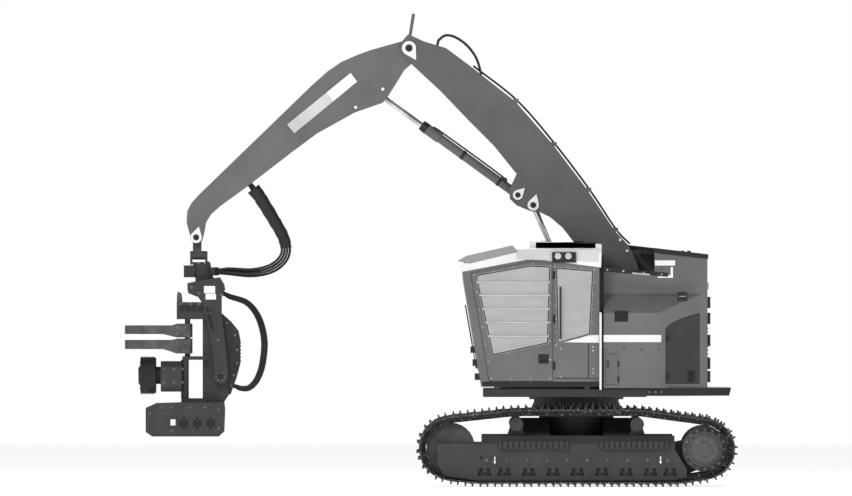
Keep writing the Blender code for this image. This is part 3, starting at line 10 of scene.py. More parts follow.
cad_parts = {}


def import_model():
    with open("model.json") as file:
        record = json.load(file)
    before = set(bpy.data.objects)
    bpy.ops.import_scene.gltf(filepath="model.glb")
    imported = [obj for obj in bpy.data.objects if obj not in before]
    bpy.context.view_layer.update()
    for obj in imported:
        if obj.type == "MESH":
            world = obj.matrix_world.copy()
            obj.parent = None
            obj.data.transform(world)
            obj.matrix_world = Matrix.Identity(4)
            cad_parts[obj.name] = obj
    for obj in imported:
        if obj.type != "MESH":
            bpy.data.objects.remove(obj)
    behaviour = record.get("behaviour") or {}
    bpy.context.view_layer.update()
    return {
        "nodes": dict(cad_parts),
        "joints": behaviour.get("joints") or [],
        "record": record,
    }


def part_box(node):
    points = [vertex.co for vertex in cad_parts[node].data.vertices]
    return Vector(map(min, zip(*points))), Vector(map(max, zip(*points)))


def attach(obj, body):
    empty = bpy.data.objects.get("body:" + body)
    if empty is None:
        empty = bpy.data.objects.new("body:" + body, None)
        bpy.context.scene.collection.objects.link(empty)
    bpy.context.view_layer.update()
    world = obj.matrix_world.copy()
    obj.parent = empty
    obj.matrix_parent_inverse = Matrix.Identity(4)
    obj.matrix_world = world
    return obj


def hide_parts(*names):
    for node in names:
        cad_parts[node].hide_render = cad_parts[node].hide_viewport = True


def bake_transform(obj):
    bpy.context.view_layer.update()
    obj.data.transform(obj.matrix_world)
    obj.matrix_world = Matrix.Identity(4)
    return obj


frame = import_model()

JOINTS = {joint["name"]: joint for joint in frame["joints"]}


def pivot(name):
    return Vector(JOINTS[name]["pos_m"])


def corner(node, end):
    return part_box(node)[end]


SLEW = pivot("swing").x
FOOT = pivot("boom_lift")
TIP = pivot("stick_swing")
HANG = pivot("link_swing")
CROSS = pivot("cross_swing")
TILT = pivot("head_tilt")
CAB_LEFT = corner("cab_shell", 0).y
CAB_RIGHT = corner("cab_shell", 1).y
ENGINE_LEFT = corner("engine_enclosure", 0).y
BOOM_ALONG = (TIP - FOOT).normalized()
STICK_ALONG = (HANG - TIP).normalized()
PROUD = 0.002  # how deep a fitted piece is let into what it sits on


def machine(x, y, z):
    """A point given from the slewing axis."""
    return Vector((x + SLEW, y, z))


def underside(along):
    return Vector((-along.z, 0, along.x))


def on_boom(station, offset, y):
    return FOOT + BOOM_ALONG * station + underside(BOOM_ALONG) * offset + Vector((0, y, 0))


def on_stick(station, offset, y):
    return TIP + STICK_ALONG * station + underside(STICK_ALONG) * offset + Vector((0, y, 0))


def on_head(x, y, z):
    return TILT + Vector((x, y, z))


# Finishes ----------------------------------------------------------------------------------------


class Finish:
    """A Principled material with helpers for its procedural nodes."""

    def __init__(self, name, roughness, metallic=0.0):
        self.material = bpy.data.materials.new(name)
        self.material.use_nodes = True
        self.tree = self.material.node_tree
        self.shader = self.tree.nodes["Principled BSDF"]
        self.shader.inputs["Roughness"].default_value = roughness
        self.shader.inputs["Metallic"].default_value = metallic
        self.place = self.tree.nodes.new("ShaderNodeTexCoord").outputs["Object"]

    def link(self, output, node, socket):
        self.tree.links.new(output, node.inputs[socket])

    def noise(self, scale, detail=4.0, stretch=(1, 1, 1)):
        mapping = self.tree.nodes.new("ShaderNodeMapping")
        mapping.inputs["Scale"].default_value = stretch
        self.link(self.place, mapping, "Vector")
        noise = self.tree.nodes.new("ShaderNodeTexNoise")
        noise.inputs["Scale"].default_value = scale
        noise.inputs["Detail"].default_value = detail
        self.link(mapping.outputs["Vector"], noise, "Vector")
        return noise.outputs["Fac"]

    def ramp(self, fac, stops):
        ramp = self.tree.nodes.new("ShaderNodeValToRGB")
        elements = ramp.color_ramp.elements
        while len(elements) < len(stops):
            elements.new(0.5)
        for element, (place, colour) in zip(elements, stops):
            element.position = place
            element.color = (*colour, 1)
        self.link(fac, ramp, "Fac")
        return ramp.outputs["Color"]

    def mix(self, fac, first, second):
        """Second over first, each a colour or a node's output."""
        mix = self.tree.nodes.new("ShaderNodeMix")
        mix.data_type = "RGBA"
        self.tree.links.new(fac, mix.inputs[0])
        for socket, value in ((6, first), (7, second)):
            if isinstance(value, tuple):
                mix.inputs[socket].default_value = (*value, 1)
            else:
                self.tree.links.new(value, mix.inputs[socket])
        return mix.outputs[2]

    def colour(self, output):
        self.link(output, self.shader, "Base Color")

    def roughness(self, fac, low, high):
        spread = self.tree.nodes.new("ShaderNodeMapRange")
        spread.inputs["To Min"].default_value = low
        spread.inputs["To Max"].default_value = high
        self.link(fac, spread, "Value")
        self.link(spread.outputs["Result"], self.shader, "Roughness")

    def bump(self, height, distance, strength=0.5):
        bump = self.tree.nodes.new("ShaderNodeBump")
        bump.inputs["Distance"].default_value = distance
        bump.inputs["Strength"].default_value = strength
        self.link(height, bump, "Height")
        self.link(bump.outputs["Normal"], self.shader, "Normal")


def grey(level):
    """A neutral colour from a display level of 0 to 255."""
    share = level / 255
    linear = share / 12.92 if share <= 0.04045 else ((share + 0.055) / 1.055) ** 2.4
    return (linear, linear, linear)


def scaled(colour, factor):
    return tuple(min(1.0, part * factor) for part in colour)


def painted(name, level, roughness=0.42, wear=0.6, dust=0.35):
    """Sprayed paint: cloudy tone, faint scratches, dust in patches, orange peel."""
    finish = Finish(name, roughness)
    base = grey(level)
    cloud = finish.noise(1.7, 5)
    tone = finish.ramp(cloud, [(0.3, scaled(base, 0.90)), (0.7, scaled(base, 1.10))])
    scratch = finish.noise(9, 8, (1, 1, 14))
    lines = finish.ramp(scratch, [(0.66, (0, 0, 0)), (0.74, (wear * 0.5,) * 3)])
    tone = finish.mix(lines, tone, scaled(base, 1.9))
    patches = finish.ramp(finish.noise(3.1, 9), [(0.52, (0, 0, 0)), (0.80, (dust,) * 3)])
    tone = finish.mix(patches, tone, scaled(grey(max(level, 70)), 1.25))
    finish.colour(tone)
    finish.roughness(cloud, roughness - 0.06, roughness + 0.14)
    finish.bump(finish.noise(420, 2), 0.0006, 0.25)
    return finish.material


def bare_metal(name, level, roughness, metallic=0.85, brushed=(1, 1, 30)):
    """Rolled or ground steel with fine lines and darker stains."""
    finish = Finish(name, roughness, metallic)
    base = grey(level)
    stain = finish.noise(5, 8)
    tone = finish.ramp(stain, [(0.35, scaled(base, 0.62)), (0.62, scaled(base, 1.15))])
    finish.colour(tone)
    lines = finish.noise(38, 5, brushed)
    finish.roughness(lines, roughness - 0.08, roughness + 0.18)
    finish.bump(lines, 0.0008, 0.3)
    return finish.material


def mottled(name, level, roughness, metallic, noise, darkest, palest):
    """The start of a finish: one grey, cloudy between a darker and a paler share of itself."""
    finish = Finish(name, roughness, metallic)
    base = grey(level)
    stops = [(0.3, scaled(base, darkest)), (0.7, scaled(base, palest))]
    finish.colour(finish.ramp(finish.noise(*noise), stops))
    return finish


def cast(name, level):
    """Rough casting with a grainy skin."""
    finish = mottled(name, level, 0.62, 0.25, (6, 7), 0.75, 1.3)
    finish.bump(finish.noise(150, 5), 0.0020, 0.5)
    return finish.material


def shoe_steel(name, level):
    """Track steel: dark plates, worn bright in patches."""
    finish = Finish(name, 0.5, 0.45)
    base = grey(level)
    tone = finish.ramp(finish.noise(3.5, 6), [(0.3, scaled(base, 0.7)), (0.7, scaled(base, 1.2))])
    worn = finish.ramp(finish.noise(26, 8), [(0.55, (0, 0, 0)), (0.72, (0.8, 0.8, 0.8))])
    finish.colour(finish.mix(worn, tone, grey(150)))
    finish.bump(finish.noise(90, 6), 0.0025, 0.5)
    return finish.material


def rubber(name, level):
    finish = mottled(name, level, 0.55, 0.0, (20, 6), 0.7, 1.5)
    finish.bump(finish.noise(260, 3), 0.0008, 0.4)
    return finish.material


def moulded(name, level):
    """Grained plastic."""
    finish = mottled(name, level, 0.6, 0.0, (8, 4), 0.85, 1.15)
    finish.bump(finish.noise(520, 2), 0.0009, 0.5)
    return finish.material


def woven(name, level):
    """Seat cloth with a fine ribbed weave."""
    finish = mottled(name, level, 0.95, 0.0, (14, 4), 0.7, 1.4)
    wave = finish.tree.nodes.new("ShaderNodeTexWave")
    wave.inputs["Scale"].default_value = 160
    finish.link(finish.place, wave, "Vector")
    finish.bump(wave.outputs["Fac"], 0.0012, 0.6)
    finish.shader.inputs["Sheen Weight"].default_value = 0.3
    return finish.material


def pane(name, level, alpha):
    """Clear pane, faintly smeared, through which the inside shows pale."""
    finish = Finish(name, 0.12)
    base = grey(level)
    smear = finish.noise(2.5, 6, (1, 1, 3))
    finish.colour(finish.ramp(smear, [(0.3, scaled(base, 0.93)), (0.7, scaled(base, 1.05))]))
    finish.shader.inputs["Alpha"].default_value = alpha
    finish.roughness(smear, 0.08, 0.25)
    return finish.material


LOOKS = {
    "arm_paint": painted("arm_paint", 93),
    "panel_paint": painted("panel_paint", 108, 0.40),
    "dark_paint": painted("dark_paint", 47, 0.5, 0.8),
    "frame_paint": painted("frame_paint", 58, 0.55, 0.9, 0.5),
    "white_paint": painted("white_paint", 238, 0.38, 0.1, 0.05),
    "black_paint": painted("black_paint", 22, 0.5, 0.5, 0.2),
    "head_paint": painted("head_paint", 52, 0.5, 1.0, 0.5),
    "track_steel": shoe_steel("track_steel", 62),
    "knife_steel": bare_metal("knife_steel", 96, 0.42, 0.5),
    "rod_chrome": bare_metal("rod_chrome", 205, 0.16, 0.9, (1, 30, 1)),
    "cast_iron": cast("cast_iron", 52),
    "window": pane("window", 205, 0.66),
    "seat_fabric": woven("seat_fabric", 52),
    "trim_plastic": moulded("trim_plastic", 64),
    "hose_rubber": rubber("hose_rubber", 26),
    "white_trim": painted("white_trim", 252, 0.4, 0.0, 0.0),
    "lamp_lens": pane("lamp_lens", 230, 0.75),
}
SHADES = {
    # corner doors: dark grey 46 is painted shade of their slanted faces, far darker than the panel grey
    "corner": painted("corner_painted_shade", 46, 0.45),
    "stick": painted("stick_shade", 101),
    "plate": painted("plate_shade", 208, 0.35, 0.1, 0.05),
    "visor": painted("visor_shade", 150, 0.4, 0.2, 0.1),
    "black": painted("black_shade", 17, 0.55, 0.2, 0.1),
    "roller": cast("roller_shade", 34),
    "wheel": cast("wheel_shade", 76),
    "bolt": bare_metal("bolt_shade", 120, 0.4, 0.6),
    "pale_bolt": bare_metal("pale_bolt_shade", 200, 0.35, 0.3),
    "dark_shell": painted("cover_shade", 30, 0.5, 1.0),
    "drive": painted("drive_shade", 84, 0.5, 0.8, 0.4),
    "chain": shoe_steel("chain_shade", 40),
}
FINISHES = {**LOOKS, **SHADES}


def dress(obj, material):
    if not obj.material_slots:
        obj.data.materials.append(material)
    for slot in obj.material_slots:
        slot.link = "OBJECT"
        slot.material = material


NODE_SHADES = {
    # the corner doors take the painted shade of their slanted faces
    "corner_door_left": "corner",
    "corner_door_right": "corner",
    "stick": "stick",
    "feed_roller_left": "roller",
    "feed_roller_right": "roller",
    "idler_left": "wheel",
    "idler_right": "wheel",
    "head_cover": "dark_shell",
    "final_drive_left": "drive",
    "final_drive_right": "drive",
}
ROUNDED = {  # width of the rounded edges of plain nodes
    "cab_roof": 0.012, "hood": 0.015, "side_tank": 0.03, "rear_deck": 0.008, "engine_block": 0.01,
    "head_cover": 0.02, "saw_box": 0.008, "operator_seat": 0.045, "armrest_consoles": 0.015,
    "cab_door": 0.006, "rear_door": 0.006, "corner_door_left": 0.006, "corner_door_right": 0.006,
    "service_door": 0.005, "boom": 0.008, "stick": 0.008, "top_knife": 0.004, "engine_enclosure": 0.010,
    "tilt_frame": 0.008, "cab_shell": 0.006, "carbody": 0.01, "main_frame": 0.006,
    "upper_knife_left": 0.005, "upper_knife_right": 0.005, "lower_knife_left": 0.005,
    "lower_knife_right": 0.005, "roller_arm_left": 0.01, "roller_arm_right": 0.01,
}
for row in frame["record"]["subparts"]:
    name = row["node"]
    node = frame["nodes"][name]
    dress(node, FINISHES[NODE_SHADES.get(name, row["material_slot"])])
    node.data.shade_smooth()
    node.data.set_sharp_from_angle(angle=math.radians(35))
    if name in ROUNDED:
        rounding = node.modifiers.new("rounded", "BEVEL")
        rounding.width = ROUNDED[name]
        rounding.segments = 3
        rounding.limit_method = "ANGLE"
        rounding.angle_limit = math.radians(35)
        rounding.harden_normals = True


# Fine pieces -------------------------------------------------------------------------------------


def made(name, bm, look):
    """A smooth-shaded object from a bmesh, put into the scene."""
    mesh = bpy.data.meshes.new(name)
    bm.to_mesh(mesh)
    bm.free()
    mesh.shade_smooth()
    mesh.materials.append(FINISHES[look])
    obj = bpy.data.objects.new(name, mesh)
    bpy.context.scene.collection.objects.link(obj)
    return obj


def circle_of(count, radius, phase=0.0):
    """Pairs of offsets to places evenly round a circle."""
    turns = [2 * math.pi * (k + phase) / count for k in range(count)]
    return [(radius * math.cos(turn), radius * math.sin(turn)) for turn in turns]


def ring_round(centre, across, third, radius, sides):
    return [centre + across * u + third * v for u, v in circle_of(sides, radius)]


def heading(line, i):
    return (line[min(i + 1, len(line) - 1)] - line[max(i - 1, 0)]).normalized()


def tube_rings(line, radius, sides, across):
    """Rings along a line, each twisted as little as it can be from the one before."""
    rings = []
    for i, point in enumerate(line):
        along = heading(line, i)
        across = (across - along * across.dot(along)).normalized()
        rings.append(ring_round(point, across, along.cross(across), radius, sides))
    return rings


class Kit:
    """Collects small shapes in the row frame, then makes one piece of them on a body."""

    def __init__(self, name, body, look, bevel=0.003, slot=None):
        """look names a finish; slot is given where the record's slot isn't that look, and is kept but not
        used.
        """
        self.name, self.body, self.look, self.bevel = name, body, look, bevel
        self.slot = slot or (look if look in LOOKS else None)
        self.bm = bmesh.new()

    def rings(self, rings):
        rows = [[self.bm.verts.new(point) for point in ring] for ring in rings]
        made = []
        for near, far in zip(rows, rows[1:]):
            for i, start in enumerate(near):
                j = (i + 1) % len(near)
                made.append(self.bm.faces.new((start, near[j], far[j], far[i])))
        made.append(self.bm.faces.new(rows[0]))
        made.append(self.bm.faces.new(rows[-1]))
        bmesh.ops.recalc_face_normals(self.bm, faces=made)
        return self

    def block(self, low, high):
        """A box between two corners."""
        low, high = Vector(low), Vector(high)
        section = ((low.y, low.z), (high.y, low.z), (high.y, high.z), (low.y, high.z))
        return self.rings([[Vector((x, y, z)) for y, z in section] for x in (low.x, high.x)])

    def sheet(self, points, thickness):
        """A flat outline, given as points in one plane, carried along the thickness vector."""
        return self.rings([points, [point + thickness for point in points]])

    def turned(self, start, along, stations, sides=20):
        """A round shape from start along a direction, through (distance, radius) stations."""
        along = Vector(along).normalized()
        across = along.orthogonal().normalized()
        third = along.cross(across)
        start = Vector(start)
        return self.rings([ring_round(start + along * d, across, third, r, sides) for d, r in stations])

    def rod(self, start, end, radius, sides=16):
        length = (Vector(end) - Vector(start)).length
        return self.turned(start, Vector(end) - Vector(start), [(0, radius), (length, radius)], sides)

    def bolt(self, place, out, radius=0.012, height=0.010):
        """A washer and a chamfered hexagon head, let a little into the surface."""
        out = Vector(out).normalized()
        base = Vector(place) - out * PROUD
        self.turned(base, out, [(0, radius * 1.5), (PROUD + 0.003, radius * 1.5)], 14)
        top = PROUD + height
        stations = [(0.002, radius), (top - radius * 0.25, radius), (top, radius * 0.8)]
        return self.turned(base, out, stations, 6)

    def pipe(self, points, radius, sides=12):
        """A round tube along one smooth line through the points."""
        line = smooth([Vector(p) for p in points])
        across = (line[1] - line[0]).orthogonal().normalized()
        return self.rings(tube_rings(line, radius, sides, across))

    def done(self):
        obj = made(self.name, self.bm, self.look)
        obj.data.set_sharp_from_angle(angle=math.radians(40))
        if self.bevel:
            rounding = obj.modifiers.new("rounded", "BEVEL")
            rounding.width = self.bevel
            rounding.segments = 2
            rounding.limit_method = "ANGLE"
            rounding.angle_limit = math.radians(50)
        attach(obj, self.body)
        return obj


def smooth(points, parts=8):
    """Points on one smooth curve through the given ones."""
    ends = [points[0] * 2 - points[1]] + points + [points[-1] * 2 - points[-2]]
    result = []
    for a, b, c, d in zip(ends, ends[1:], ends[2:], ends[3:]):
        for i in range(parts):
            t = i / parts
            bend = (a * 2 - b * 5 + c * 4 - d) * t * t + (b * 3 - a - c * 3 + d) * t**3
            result.append((b * 2 + (c - a) * t + bend) / 2)
    return result + [points[-1]]


LEFT = Vector((0, -1, 0))
RIGHT = Vector((0, 1, 0))
UP = Vector((0, 0, 1))
SIDES = (("left", -1), ("right", 1))  # the name of each side, and its sign of y


def row_of(first, last, count):
    first, last = Vector(first), Vector(last)
    return [first.lerp(last, i / (count - 1)) for i in range(count)]


# Camera, light and floor -------------------------------------------------------------------------


def studio():
    camera = bpy.data.objects.new("camera", bpy.data.cameras.new("camera"))
    bpy.context.scene.collection.objects.link(camera)
    camera.data.sensor_width = 36
    camera.data.lens = 800
    camera.data.clip_end = 2000
    width_in_view = 12.78
    distance = width_in_view * camera.data.lens / camera.data.sensor_width
    camera.location = machine(-2.2545, -distance, 3.567)
    camera.rotation_euler = (math.pi / 2, 0, 0)
    bpy.context.scene.camera = camera
    lamps = (
        # name, energy, size, place from the slewing axis, aimed at
        ("key", 1350, 7, (-8, -15, 13), (-1.5, 0, 3)),
        ("fill", 420, 12, (11, -13, 6), (0, 0, 2)),
        ("back", 900, 10, (3, 14, 10), (0, 0, 3)),
    )
    for name, energy, size, place, aim in lamps:
        lamp = bpy.data.objects.new(name, bpy.data.lights.new(name, "AREA"))
        bpy.context.scene.collection.objects.link(lamp)
        lamp.data.energy = energy
        lamp.data.size = size
        lamp.location = machine(*place)
        lamp.rotation_euler = (machine(*aim) - lamp.location).to_track_quat("-Z", "Y").to_euler()


def world():
    scene = bpy.context.scene
    scene.view_settings.view_transform = "Standard"
    scene.world = bpy.data.worlds.new("studio")
    scene.world.use_nodes = True
    tree = scene.world.node_tree
    light = tree.nodes["Background"]
    light.inputs["Color"].default_value = (1, 1, 1, 1)
    light.inputs["Strength"].default_value = 0.24
    white = tree.nodes.new("ShaderNodeBackground")
    white.inputs["Strength"].default_value = 1.0
    white.inputs["Color"].default_value = (1, 1, 1, 1)
    path = tree.nodes.new("ShaderNodeLightPath")
    seen = None
    for ray in ("Is Camera Ray", "Is Transmission Ray"):
        if seen is None:
            seen = path.outputs[ray]
            continue
        larger = tree.nodes.new("ShaderNodeMath")
        larger.operation = "MAXIMUM"
        tree.links.new(seen, larger.inputs[0])
        tree.links.new(path.outputs[ray], larger.inputs[1])
        seen = larger.outputs[0]
    mix = tree.nodes.new("ShaderNodeMixShader")
    tree.links.new(seen, mix.inputs[0])
    tree.links.new(light.outputs[0], mix.inputs[1])
    tree.links.new(white.outputs[0], mix.inputs[2])
    tree.links.new(mix.outputs[0], tree.nodes["World Output"].inputs["Surface"])


def floor():
    bm = bmesh.new()
    bmesh.ops.create_grid(bm, x_segments=1, y_segments=1, size=60)
    mesh = bpy.data.meshes.new("floor")
    bm.to_mesh(mesh)
    bm.free()
    plane = bpy.data.objects.new("floor", mesh)
    bpy.context.scene.collection.objects.link(plane)
    plane.location.z = -0.001
    finish = Finish("floor", 0.9)
    finish.shader.inputs["Emission Color"].default_value = (1, 1, 1, 1)
    finish.shader.inputs["Emission Strength"].default_value = 0.72
    finish.colour(finish.ramp(finish.noise(0.4), [(0, (0.86,) * 3), (1, (0.90,) * 3)]))
    mesh.materials.append(finish.material)


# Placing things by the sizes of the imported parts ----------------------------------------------


def at(place, y):
    """A point from an (x, z) place, given from the slewing axis."""
    return machine(place[0], y, place[1])


def grown(outline, by):
    """A convex (x, z) outline with each side moved out by a distance, or in if it is negative."""
    middle = sum((Vector(p) for p in outline), Vector((0, 0))) / len(outline)
    lines = []
    for i, start in enumerate(outline):
        side = (Vector(outline[(i + 1) % len(outline)]) - Vector(start)).normalized()
        normal = Vector((-side.y, side.x))
        if normal.dot(Vector(start) - middle) < 0:
            normal = -normal
        lines.append((Vector(start) + normal * by, side))
    points = []
    for i, (b, next_side) in enumerate(lines):
        a, side = lines[i - 1]
        turn = side.x * next_side.y - side.y * next_side.x
        reach = ((b - a).x * next_side.y - (b - a).y * next_side.x) / turn
        points.append(tuple(a + side * reach))
    return points


def plate(kit, outline, y, thickness, out=-1):
    points = [at(place, y - out * PROUD) for place in outline]
    return kit.sheet(points, Vector((0, out * (thickness + PROUD), 0)))


def panel(kit, low, high, y, thickness, out=-1):
    return plate(kit, [low, (high[0], low[1]), high, (low[0], high[1])], y, thickness, out)


def rim(kit, outline, y, inwards, outwards, thickness, out=-1):
    """A flat frame round an outline."""
    inner, outer = grown(outline, -inwards), grown(outline, outwards)
    for i in range(len(outline)):
        j = (i + 1) % len(outline)
        plate(kit, [outer[i], outer[j], inner[j], inner[i]], y, thickness, out)


def along_outline(outline, pitch):
    """Places about a pitch apart round a closed (x, z) outline."""
    places = []
    for i, start in enumerate(outline):
        start, end = Vector(start), Vector(outline[(i + 1) % len(outline)])
        count = max(1, round((end - start).length / pitch))
        places += [tuple(start.lerp(end, k / count)) for k in range(count)]
    return places


def handle(kit, start, end, out, reach, radius):
    """A bent grab rail between two feet, standing out by reach."""
    start, end, out = Vector(start), Vector(end), Vector(out).normalized()
    along = (end - start).normalized() * radius * 2
    foot = start - out * PROUD
    points = [foot, start + out * reach * 0.7, start + along + out * reach]
    points += [end - along + out * reach, end + out * reach * 0.7, end - out * PROUD]
    kit.pipe(points, radius)


# Cab ---------------------------------------------------------------------------------------------

DOOR_SIDE = [(-1.317, 1.575), (-0.3585, 1.575), (-0.3585, 3.335), (-0.66, 3.376), (-1.594, 3.198)]
DOOR_WINDOW = [(-1.488, 3.1455), (-1.2435, 1.992), (-0.456, 2.1615), (-0.423, 3.2685), (-0.708, 3.2835)]
LEFT_WINDOW = [(-0.2925, 3.252), (-0.2685, 2.1705), (0.171, 2.292), (0.219, 3.2115)]
RIGHT_WINDOW = [(-1.45, 2.95), (-1.30, 2.05), (0.10, 2.05), (0.12, 3.16), (-0.68, 3.28)]
VISOR = [(-1.7775, 3.3735), (-1.602, 3.335), (-0.8775, 3.51), (-0.9675, 3.6015), (-1.65, 3.447)]
PANE_THICKNESS = 0.012
GLASS_Y = CAB_LEFT - PANE_THICKNESS


def span_at(outline, z):
    """The x where a level line enters and leaves a convex outline."""
    found = []
    for i, (x, low) in enumerate(outline):
        x2, high = outline[(i + 1) % len(outline)]
        if (low - z) * (high - z) < 0:
            found.append(x + (x2 - x) * (z - low) / (high - low))
    return min(found), max(found)


def cab():
    seals = Kit("door_window_seal", "cab_door", "black_paint", 0.002)
    rim(seals, DOOR_WINDOW, CAB_LEFT, -0.006, 0.022, 0.014)
    rim(seals, DOOR_SIDE, CAB_LEFT, 0.008, -0.002, 0.002)
    seals.done()
    seals = Kit("cab_window_seals", "upper", "black_paint", 0.002)
    rim(seals, LEFT_WINDOW, CAB_LEFT, -0.006, 0.022, 0.014)
    rim(seals, RIGHT_WINDOW, CAB_RIGHT, -0.006, 0.022, 0.014, 1)
    seals.done()

    guard = Kit("door_guard_bars", "cab_door", "plate", 0.001, "white_trim")
    for z in (3.057, 2.862, 2.658, 2.455, 2.252):
        first, last = span_at(DOOR_WINDOW, z)
        guard.rod(at((first - 0.012, z), GLASS_Y - 0.010), at((last + 0.012, z), GLASS_Y - 0.010), 0.009)
        for x in (first - 0.012, last + 0.012):
            guard.block(
                at((x - 0.014, z - 0.014), CAB_LEFT - 0.024), at((x + 0.014, z + 0.014), CAB_LEFT + PROUD)
            )
    guard.done()
    guard = Kit("windscreen_guard_bars", "upper", "plate", 0.001, "white_trim")
    foot, head = machine(-1.4715, 0, 1.735), machine(-1.7155, 0, 3.137)
    for i in range(1, 7):
        point = foot.lerp(head, i / 7)
        guard.rod(
            point + Vector((0.004, CAB_LEFT + 0.03, 0)), point + Vector((0.004, CAB_RIGHT - 0.03, 0)),
            0.007
        )
    guard.done()
    wiper = Kit("windscreen_wiper", "upper", "black_paint", 0.001)
    middle = (CAB_LEFT + CAB_RIGHT) / 2
    lean = (head - foot).normalized()
    pivot_point = foot + lean * 0.06 + Vector((0, middle, 0))
    out = Vector((-lean.z, 0, lean.x))
    wiper.turned(pivot_point, out, [(0, 0.03), (0.03, 0.026), (0.036, 0.018)])
    blade = pivot_point + out * 0.024
    wiper.rod(blade, blade + lean * 0.62 + Vector((0, 0.10, 0)), 0.008)
    wiper.rod(
        blade + lean * 0.34 + Vector((0, 0.06, 0)), blade + lean * 0.94 + Vector((0, 0.14, 0)), 0.010
    )
    wiper.done()

    bolts = Kit("cab_door_bolts", "cab_door", "pale_bolt", 0)
    for place in along_outline(grown(DOOR_SIDE, -0.045), 0.27):
        bolts.bolt(at(place, CAB_LEFT), LEFT, 0.007, 0.005)
    bolts.done()
    bolts = Kit("cab_bolts", "upper", "pale_bolt", 0)
    for place in along_outline(grown(LEFT_WINDOW, 0.042), 0.21):
        bolts.bolt(at(place, CAB_LEFT), LEFT, 0.007, 0.005)
    for place in along_outline(grown(RIGHT_WINDOW, 0.042), 0.25):
        bolts.bolt(at(place, CAB_RIGHT), RIGHT, 0.007, 0.005)
    for place in (
        (0.236, 2.09), (0.236, 2.037), (0.236, 1.764), (0.236, 1.707), (-0.244, 2.067), (-0.244, 1.647)
    ):
        bolts.bolt(at(place, CAB_LEFT), LEFT, 0.008, 0.006)
    bolts.done()

    fittings = Kit("cab_fittings", "upper", "black_paint", 0.004)
    handle(fittings, at((-0.249, 2.247), CAB_LEFT), at((-0.249, 2.952), CAB_LEFT), LEFT, 0.055, 0.014)
    panel(fittings, (-1.414, 1.497), (0.326, 1.572), CAB_LEFT, 0.006)
    panel(fittings, (-0.334, 1.617), (0.311, 1.629), CAB_LEFT, 0.002)
    panel(fittings, (0.164, 1.632), (0.179, 2.142), CAB_LEFT, 0.001)
    for z in (2.052, 1.857, 1.647):
        fittings.block(
            machine(-1.52 - (z - 1.6) * 0.16, CAB_LEFT + 0.004, z - 0.05),
            machine(-1.44 - (z - 1.6) * 0.16, CAB_LEFT + 0.10, z + 0.05)
        )
    fittings.block(at((-0.373, 3.349), CAB_LEFT - 0.035), at((-0.016, 3.504), CAB_LEFT + 0.06))
    fittings.block(machine(-1.69, CAB_LEFT + 0.10, 3.34), machine(-1.62, CAB_RIGHT - 0.10, 3.42))
    fittings.done()
    latch = Kit("cab_door_latch", "cab_door", "black_paint", 0.004)
    panel(latch, (-0.578, 1.845), (-0.423, 1.983), CAB_LEFT, 0.004)
    handle(
        latch, at((-0.537, 1.869), CAB_LEFT - 0.003), at((-0.462, 1.869), CAB_LEFT - 0.003), LEFT, 0.028,
        0.009
    )
    for z in (1.75, 2.45, 3.10):
        latch.rod(
            machine(-0.345, CAB_LEFT - 0.012, z), machine(-0.345, CAB_LEFT - 0.012, z + 0.12), 0.018
        )
    latch.done()
    lamps = Kit("cab_lamps", "upper", "lamp_lens", 0.002)
    for place in ((-0.285, 3.447), (-0.13, 3.447)):
        lamps.turned(at(place, CAB_LEFT - 0.033), LEFT, [(0, 0.050), (0.010, 0.048), (0.016, 0.030)])
    for y in (CAB_LEFT + 0.18, CAB_LEFT + 0.34, CAB_RIGHT - 0.34, CAB_RIGHT - 0.18):
        lamps.turned(machine(-1.688, y, 3.38), (-1, 0, 0), [(0, 0.030), (0.008, 0.028), (0.012, 0.016)])
    lamps.done()
    roof = Kit("roof_trim", "upper", "plate", 0.002, "panel_paint")
    roof.sheet(
        [
            at(p, CAB_LEFT + PROUD)
            for p in ((-0.904, 3.545), (0.326, 3.545), (0.326, 3.357), (-0.904, 3.402))
        ],
        LEFT * 0.004
    )
    roof.done()
    visor = Kit("visor_cover", "upper", "visor", 0.004, "panel_paint")
    outline = grown(VISOR, 0.003)
    visor.sheet([at(p, CAB_LEFT - 0.003) for p in outline], RIGHT * (CAB_RIGHT - CAB_LEFT + 0.006))
    visor.done()
    roof = Kit("roof_cover", "upper", "black_paint", 0.004)
    roof.block(machine(-0.62, CAB_LEFT + 0.10, 3.56), machine(0.28, CAB_RIGHT - 0.10, 3.655))
    for x in (-0.55, -0.05):
        roof.block(machine(x, CAB_LEFT + 0.25, 3.64), machine(x + 0.16, CAB_LEFT + 0.45, 3.672))
    roof.done()


def stripe_and_plates():
    stripe = Kit("belt_stripe", "upper", "white_trim", 0)
    panel(stripe, (0.396, 2.163), (1.256, 2.27), ENGINE_LEFT, 0.002)
    panel(stripe, (0.396, 2.163), (1.256, 2.27), -ENGINE_LEFT, 0.002, 1)
    plate(stripe, ((-0.268, 2.162), (0.188, 2.268), (0.326, 2.268), (0.326, 2.154)), CAB_LEFT, 0.002)
    panel(stripe, (1.162, 3.306), (1.462, 3.382), ENGINE_LEFT, 0.002)
    plate(
        stripe,
        ((1.205, 3.123), (1.43, 3.123), (1.43, 3.284), (1.397, 3.284), (1.397, 3.162), (1.205, 3.162)),
        ENGINE_LEFT, 0.002
    )
    stripe.done()
    rail = Kit("boarding_handrail", "upper", "white_trim", 0)
    handle(
        rail, at((0.35, 1.512), CAB_LEFT + 0.02), at((0.35, 2.547), CAB_LEFT + 0.02), LEFT, 0.065, 0.018
    )
    rail.done()
    lines = Kit("gap_lines", "upper", "hose_rubber", 0)
    for k in range(3):
        x = 0.345 + 0.022 * k
        lines.rod(machine(x, -1.455 + 0.03 * k, 1.50), machine(x, -1.455 + 0.03 * k, 3.46), 0.013)
    lines.done()


